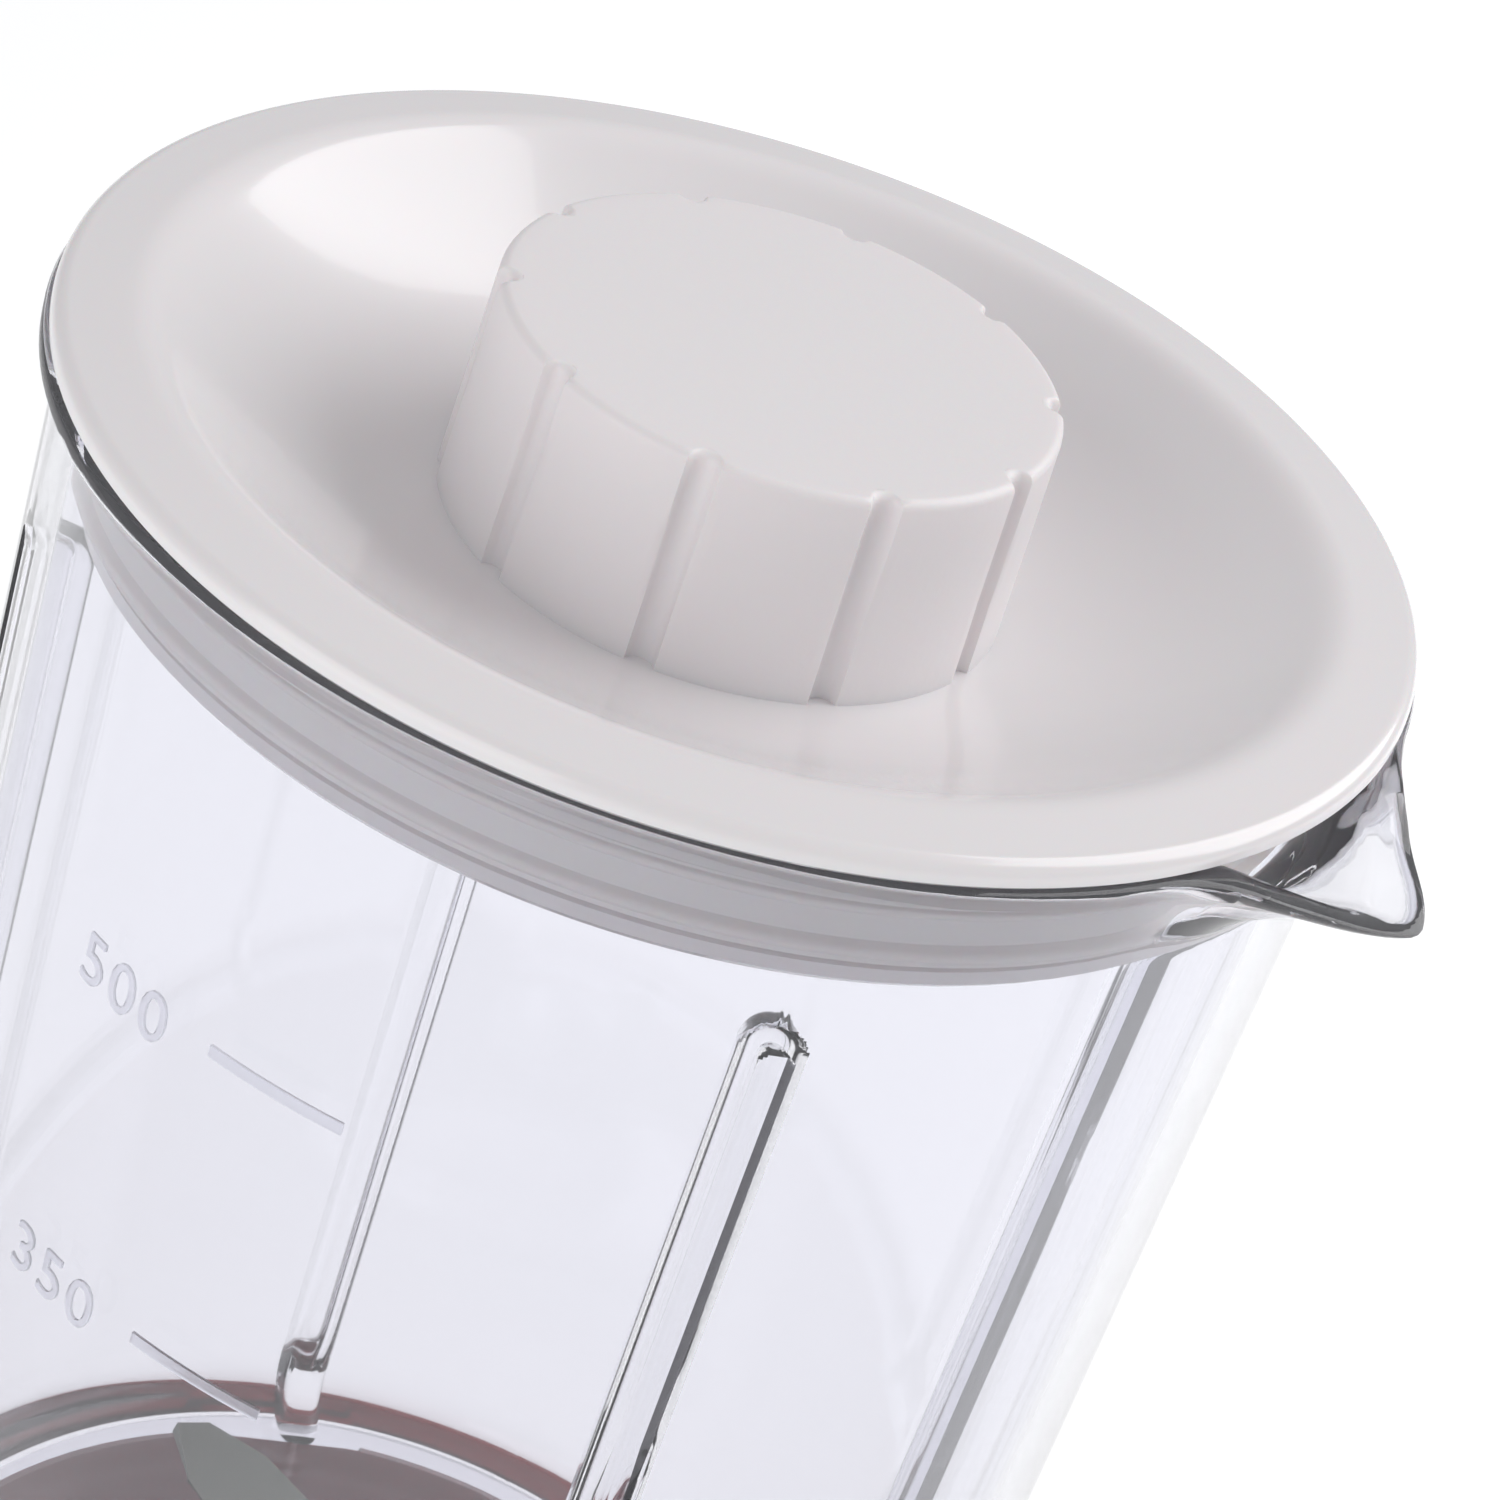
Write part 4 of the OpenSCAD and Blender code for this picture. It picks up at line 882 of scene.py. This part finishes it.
def house_outline(settings, inset):
    """The housing's outer side from foot to top, moved inwards by the inset."""
    low, high = HOUSE_LOW.z, HOUSE_HIGH.z
    foot = HOUSE_HIGH.y - inset
    made = [(foot - 0.0008, low), (foot - 0.0003, low + 0.0003), (foot, low + 0.0008)]
    for z in levels((low + STRAIGHT_BAND, high - 0.0004, 0.002)):
        made.append((house_radius(settings, z) - inset, z))
    return made + [(house_radius(settings, high) - inset - 0.0003, high)]


def vent_slot(x, z):
    """A round-ended bar that cuts one vent through the back."""
    made = bmesh.new()
    bmesh.ops.create_cube(made, size=1.0)
    bmesh.ops.transform(made, verts=made.verts, matrix=Matrix.Diagonal((*SLOT_SIZE, 1)))
    bmesh.ops.translate(made, verts=made.verts, vec=(x, 0.06, z))
    upright = [e for e in made.edges if abs(e.verts[0].co.x - e.verts[1].co.x) < 1e-9
               and abs(e.verts[0].co.z - e.verts[1].co.z) < 1e-9]
    bmesh.ops.bevel(made, geom=upright, offset=0.00115, segments=5, affect="EDGES")
    return settled(made, "slot")


def housing_mesh(settings):
    """The flared shell with its dial boss, cord collar and vents."""
    outer = house_outline(settings, 0.0)
    steps = levels((HOUSE_LOW.z, HOUSE_HIGH.z, 0.003))
    inner = [(house_radius(settings, z) - settings.wall, z) for z in steps]
    shell = revolve(outer + list(reversed(inner)), 192)
    solid = revolve([(0, HOUSE_LOW.z)] + house_outline(settings, 0.0003) + [(0, HOUSE_HIGH.z)], 192)
    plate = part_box("dial_plate")[1].x
    boss = cut(to_dial(cylinder(plate + 0.0024, -0.0024, 0.04)), solid, "INTERSECT")
    shell = cut(shell, boss, "UNION")
    shell = cut(shell, to_dial(cylinder(plate + 0.0002, 0.0, 0.06)))
    shell = cut(shell, to_dial(cylinder(0.0047, -0.01, 0.01, 48)))
    low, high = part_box("cord_inlet")
    centre = (low + high) / 2
    flange = (high.x - low.x) / 2
    spot = Matrix.Translation((0, high.y - 0.0022, centre.z)) @ Matrix.Rotation(-math.pi / 2, 4, "X")
    collar = cylinder(flange + 0.0022, -0.004, 0.03, 64)
    collar.transform(spot)
    shell = cut(shell, cut(collar, solid, "INTERSECT"), "UNION")
    for radius, start in ((flange + 0.0002, 0.0), (flange - 0.002, -0.02)):
        bore = cylinder(radius, start, 0.04, 64)
        bore.transform(spot)
        shell = cut(shell, bore)
    for k in range(-3, 4):
        shell = cut(shell, vent_slot(k * SLOT_PITCH, centre.z + SLOT_RISE))
    return shell


def foot_mesh(radius, low, high):
    """One rubber foot: rounded, dimpled underneath, with a stem."""
    dimple = [(0, low + 0.0008), (0.0034, low + 0.0008), (0.004, low)]
    pad = [(radius - 0.001, low), (radius - 0.0003, low + 0.0003), (radius, low + 0.001)]
    stem = [(radius, high - 0.0012), (radius - 0.0012, high - 0.0012), (radius - 0.0012, high), (0, high)]
    return revolve(dimple + pad + stem, 40)


class OBJECT_OT_blender_base(bpy.types.Operator):
    """Builds the flared housing, its feet and the finishes of the seat and the cover"""

    bl_idname = "object.blender_base"
    bl_label = "Motor base"

    def execute(self, context):
        settings = looks("base")
        red = moulded("base_red_gloss", settings.colour, 0.14, 260.0, 0.02, 0.05, 0.12, IOR=1.38)
        black = moulded("cover_black", (0.035, 0.035, 0.038), 0.5, 800.0, 0.25)
        rubber = rubbery("foot_rubber", (0.028, 0.028, 0.03))
        add_piece("flared_housing", housing_mesh(settings), "base", "red_gloss", red, "base_housing",
                  sharp=math.radians(28))
        low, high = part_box("rubber_feet")
        centre = math.hypot(high.x - FOOT_R, high.y - FOOT_R)
        circle = ring_tree("rubber_foot_ring", rubber)
        feet = ring_of(circle, foot_mesh(FOOT_R, low.z, high.z), 4, centre, math.radians(45))
        add_piece("dimpled_feet", feet, "base", "black_rubber", rubber, "rubber_feet")
        paint(["jar_seat"], red)
        paint(["bottom_cover", "rotary_switch"], black)
        paint(["cord_inlet"], rubbery("inlet_rubber", (0.03, 0.03, 0.032), 0.65))
        return {"FINISHED"}


# ---------------------------------------------------------------- dial
KNOB_LOW, KNOB_HIGH = 0.0021, 0.0131
DIAL_MARKS = (("P", 135), ("0", 90), ("1", 45), ("2", 0))


def knob_mesh(radius, low, high, flutes=20):
    """The fluted speed knob, hollow underneath round its hub."""
    turns = [360 * k / (flutes * 10) for k in range(flutes * 10)]
    cup, hub_r, edge_round = radius - 0.0018, 0.0079, 0.0012
    bore_top = low + 0.0045

    def grip(turn, z, level):
        wave = math.cos(math.radians(turn * flutes))
        return radius - 0.0009 * level * max(0.0, wave) ** 2 - 0.001 * (z - low) / (high - low)

    under = ((0.003, bore_top), (hub_r, bore_top), (hub_r, low), (cup, low))
    rows = [ring(turns, lambda t, r=r: r, z) for r, z in under]
    rows += [ring(turns, lambda t: grip(t, low, 0), low + up) for up in (0.0003, 0.0014)]
    for z in levels((low + 0.002, high - edge_round, 0.0015)):
        rows.append(ring(turns, lambda t, z=z: grip(t, z, 1), z))
    for back, z in arc(-edge_round, high - edge_round, edge_round, 20, 90, 6):
        rows.append(ring(turns, lambda t, b=back, z=z: grip(t, z, 1) + b, z))
    for part in (0.8, 0.5, 0.2, 0.02):
        rows.append(ring(turns, lambda t, p=part: radius * p, high - 0.0003 * (1 - part)))
    return closed_grid(rows, closed_loop=False)


class OBJECT_OT_blender_dial(bpy.types.Operator):
    """Builds the speed knob and the numbers and dots of its dial"""

    bl_idname = "object.blender_dial"
    bl_label = "Speed dial"

    def execute(self, context):
        white = moulded("dial_white", (0.84, 0.82, 0.82), 0.34, 900.0, 0.08)
        ink = moulded("dial_ink", looks("base").mark_colour, 0.5, 900.0, 0.1)
        paint(["dial_plate"], white)
        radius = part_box("speed_knob")[1].x
        knob = to_dial(knob_mesh(radius, KNOB_LOW, KNOB_HIGH))
        add_piece("grip_knob", knob, "knob", "white_matt", white, "speed_knob", sharp=math.radians(36))
        pointer = cylinder(0.0008, KNOB_HIGH - 0.0006, KNOB_HIGH + 0.00005, 24)
        pointer.transform(Matrix.Diagonal((1, 4.2, 1, 1)))
        pointer.transform(Matrix.Translation((0, radius * 0.66, 0)))
        red = moulded("pointer_red", looks("base").colour, 0.3, 400.0, 0.03)
        add_piece("red_pointer", to_dial(pointer), "knob", "red_gloss", red, "knob_pointer")
        marks = []
        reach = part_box("dial_plate")[1].x - 0.0024
        for text, turn in DIAL_MARKS:
            mark = lettering(text, 0.0026, 0.0003)
            a = math.radians(turn)
            mark.transform(Matrix.Translation((reach * math.cos(a), reach * math.sin(a), 0.00162)))
            marks.append(mark)
        add_piece("dial_numbers", to_dial(merged(marks)), "base", "black_plastic", ink)
        return {"FINISHED"}


# ---------------------------------------------------------------- works
class OBJECT_OT_blender_works(bpy.types.Operator):
    """Finishes the blades, the couplings and the motor, and winds the brush springs"""

    bl_idname = "object.blender_works"
    bl_label = "Blades and motor"

    def execute(self, context):
        steel = turned_metal("turned_steel", (0.56, 0.57, 0.58), 0.3)
        plated = cast_metal("zinc_plating", (0.60, 0.61, 0.63), 0.34)
        black = moulded("coupling_black", (0.03, 0.03, 0.032), 0.55, 700.0, 0.2)
        rubber = rubbery("seal_rubber", (0.03, 0.03, 0.03))
        paint(["lower_blade"], brushed_blade("blade_steel_lower", (0.13, 0.135, 0.12)))
        paint(["upper_blade"], brushed_blade("blade_steel_upper", (0.14, 0.145, 0.13)))
        paint(["blade_spindle", "blade_nut", "holder_nut", "dial_spindle", "motor_shaft"], steel)
        paint(["seat_screws", "cover_screws", "switch_nut", "bracket_screws", "motor_bolts"], plated)
        paint(["blade_holder"], turned_metal("holder_turned", (0.52, 0.52, 0.53), 0.32, 500.0))
        paint(["upper_bracket", "lower_bracket"], cast_metal("bracket_casting", (0.5, 0.51, 0.52), 0.5))
        paint(["drive_coupling", "driven_coupling", "cooling_fan"], black)
        paint(["holder_gasket", "spindle_seal", "bracket_dampers"], rubber)
        bronze = cast_metal("sintered_bronze", (0.48, 0.32, 0.15), 0.45)
        paint(["spindle_bushes", "upper_bearing", "lower_bearing"], bronze)
        paint(["stator_core", "armature_core"], laminated("lamination_stack", (0.20, 0.21, 0.23)))
        paint(["field_coils", "armature_winding"], wound_wire("enamelled_copper", (0.60, 0.24, 0.10)))
        paint(["commutator"], turned_metal("commutator_copper", (0.68, 0.33, 0.18), 0.3, 600.0))
        paint(["brush_holders"], cast_metal("holder_brass", (0.62, 0.46, 0.20), 0.35))
        paint(["carbon_brushes"], rubbery("pressed_carbon", (0.02, 0.02, 0.022), 0.6))
        paint(["terminal_block"], moulded("terminal_white", (0.75, 0.74, 0.70), 0.45, 700.0, 0.1))
        paint(["suppression_capacitor"], moulded("capacitor_yellow", (0.72, 0.45, 0.05), 0.3, 500.0, 0.05))
        paint(["internal_wires"], moulded("wire_blue", (0.04, 0.10, 0.34), 0.35, 900.0, 0.1))
        wire = cast_metal("spring_wire", (0.55, 0.56, 0.58), 0.3)
        low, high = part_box("brush_springs")
        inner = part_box("carbon_brushes")[1].x
        length = high.x - inner - 0.0007
        tree = spring_tree(wire)
        springs = []
        for side in (0, math.pi):
            coil = grown(tree, {"Length": length, "Turns": 5.5})
            turn = Euler((0, math.pi / 2, 0)).to_matrix().to_4x4()
            coil.transform(Matrix.Translation((inner + 0.00033, 0, (low.z + high.z) / 2)) @ turn)
            coil.transform(Matrix.Rotation(side, 4, "Z"))
            springs.append(coil)
        add_piece("wound_springs", merged(springs), "base", "steel", wire, "brush_springs")
        return {"FINISHED"}


# ---------------------------------------------------------------- stage
# Name, place, width in metres and power in watts of each area light
LAMPS = (("key", (0.62, 0.92, 1.10), 1.3, 14.5), ("fill", (-0.20, -1.20, 0.50), 1.2, 6.5))
LAMP_AIM = Vector((0, 0, 0.2))
CAMERA_PAN, CAMERA_TILT = 0.0205188, -0.0640331


class OBJECT_OT_blender_stage(bpy.types.Operator):
    """Sets the floor, the lights and the camera"""

    bl_idname = "object.blender_stage"
    bl_label = "Stage"

    def execute(self, context):
        settings = looks("stage")
        scene = context.scene
        scene.view_settings.view_transform = "Standard"
        world = bpy.data.worlds.new("studio")
        world.use_nodes = True
        sky = world.node_tree.nodes["Background"].inputs
        sky["Color"].default_value, sky["Strength"].default_value = (0.97, 0.98, 1.0, 1.0), 0.50
        scene.world = world
        made = bmesh.new()
        bmesh.ops.create_grid(made, x_segments=1, y_segments=1, size=3.0)
        mesh = settled(made, "floor")
        floor = bpy.data.objects.new("floor", mesh)
        paper = Finish("floor_paper", Roughness=0.9, Emission_Strength=0.2, Emission_Color=(1, 1, 1, 1))
        grain = paper.noise(12.0)
        colour = settings.floor_colour
        paper.feed(Base_Color=paper.mix(grain, rgba(colour, 0.985), rgba(colour)))
        mesh.materials.append(paper.material)
        scene.collection.objects.link(floor)
        for name, place, size, power in LAMPS:
            lamp = bpy.data.lights.new(name, "AREA")
            lamp.size, lamp.energy = size, power
            holder = bpy.data.objects.new(name, lamp)
            holder.location = place
            aim = LAMP_AIM - Vector(place)
            holder.rotation_euler = aim.to_track_quat("-Z", "Y").to_euler()
            scene.collection.objects.link(holder)
        self.aim_camera(scene, settings)
        return {"FINISHED"}

    def aim_camera(self, scene, settings):
        """Stands the camera at its angle, then pans and rolls it about its own line of sight."""
        lid_plane = RIM_Z + FLANGE_TOP
        back = Vector((0, -math.cos(settings.elevation), math.sin(settings.elevation)))
        right, ahead = Vector((1, 0, 0)), -back
        up = right.cross(ahead)
        across = math.cos(CAMERA_PAN) * right - math.sin(CAMERA_PAN) * ahead
        sight = math.sin(CAMERA_PAN) * right + math.cos(CAMERA_PAN) * ahead
        rise = math.cos(CAMERA_TILT) * up - math.sin(CAMERA_TILT) * sight
        sight = math.sin(CAMERA_TILT) * up + math.cos(CAMERA_TILT) * sight
        side = math.cos(settings.roll) * across + math.sin(settings.roll) * rise
        top = -math.sin(settings.roll) * across + math.cos(settings.roll) * rise
        turn = Matrix.Rotation(settings.azimuth, 4, "Z")
        axes = Matrix((side, top, -sight)).transposed().to_4x4()
        place = Matrix.Translation(back * settings.distance)
        lens = bpy.data.cameras.new("camera")
        lens.lens, lens.sensor_width = settings.lens, 36.0
        lens.clip_start, lens.clip_end = 0.01, 20.0
        camera = bpy.data.objects.new("camera", lens)
        camera.matrix_world = Matrix.Translation((0, 0, lid_plane)) @ turn @ place @ axes
        scene.collection.objects.link(camera)
        scene.camera = camera


GROUPS = {"jar": JarLooks, "lid": LidLooks, "base": BaseLooks, "stage": StageLooks}
OPERATORS = (OBJECT_OT_blender_stage, OBJECT_OT_blender_jar, OBJECT_OT_blender_lid, OBJECT_OT_blender_base,
             OBJECT_OT_blender_dial, OBJECT_OT_blender_works)


class VIEW3D_PT_blender_maker(bpy.types.Panel):
    """Lists the steps that build the blender"""

    bl_label = "Countertop blender"
    bl_space_type = "VIEW_3D"
    bl_region_type = "UI"
    bl_category = "Blender"

    def draw(self, context):
        for operator in OPERATORS:
            self.layout.operator(operator.bl_idname)


def register():
    for group in GROUPS.values():
        bpy.utils.register_class(group)
    for name, group in GROUPS.items():
        setattr(bpy.types.Scene, "maker_" + name, bpy.props.PointerProperty(type=group))
    for made in (*OPERATORS, VIEW3D_PT_blender_maker):
        bpy.utils.register_class(made)


def unregister():
    for made in reversed((*OPERATORS, VIEW3D_PT_blender_maker)):
        bpy.utils.unregister_class(made)
    for name in GROUPS:
        delattr(bpy.types.Scene, "maker_" + name)
    for group in reversed(list(GROUPS.values())):
        bpy.utils.unregister_class(group)


def main():
    register()
    for operator in OPERATORS:
        group, name = operator.bl_idname.split(".")
        getattr(getattr(bpy.ops, group), name)()


if __name__ == "__main__":
    main()
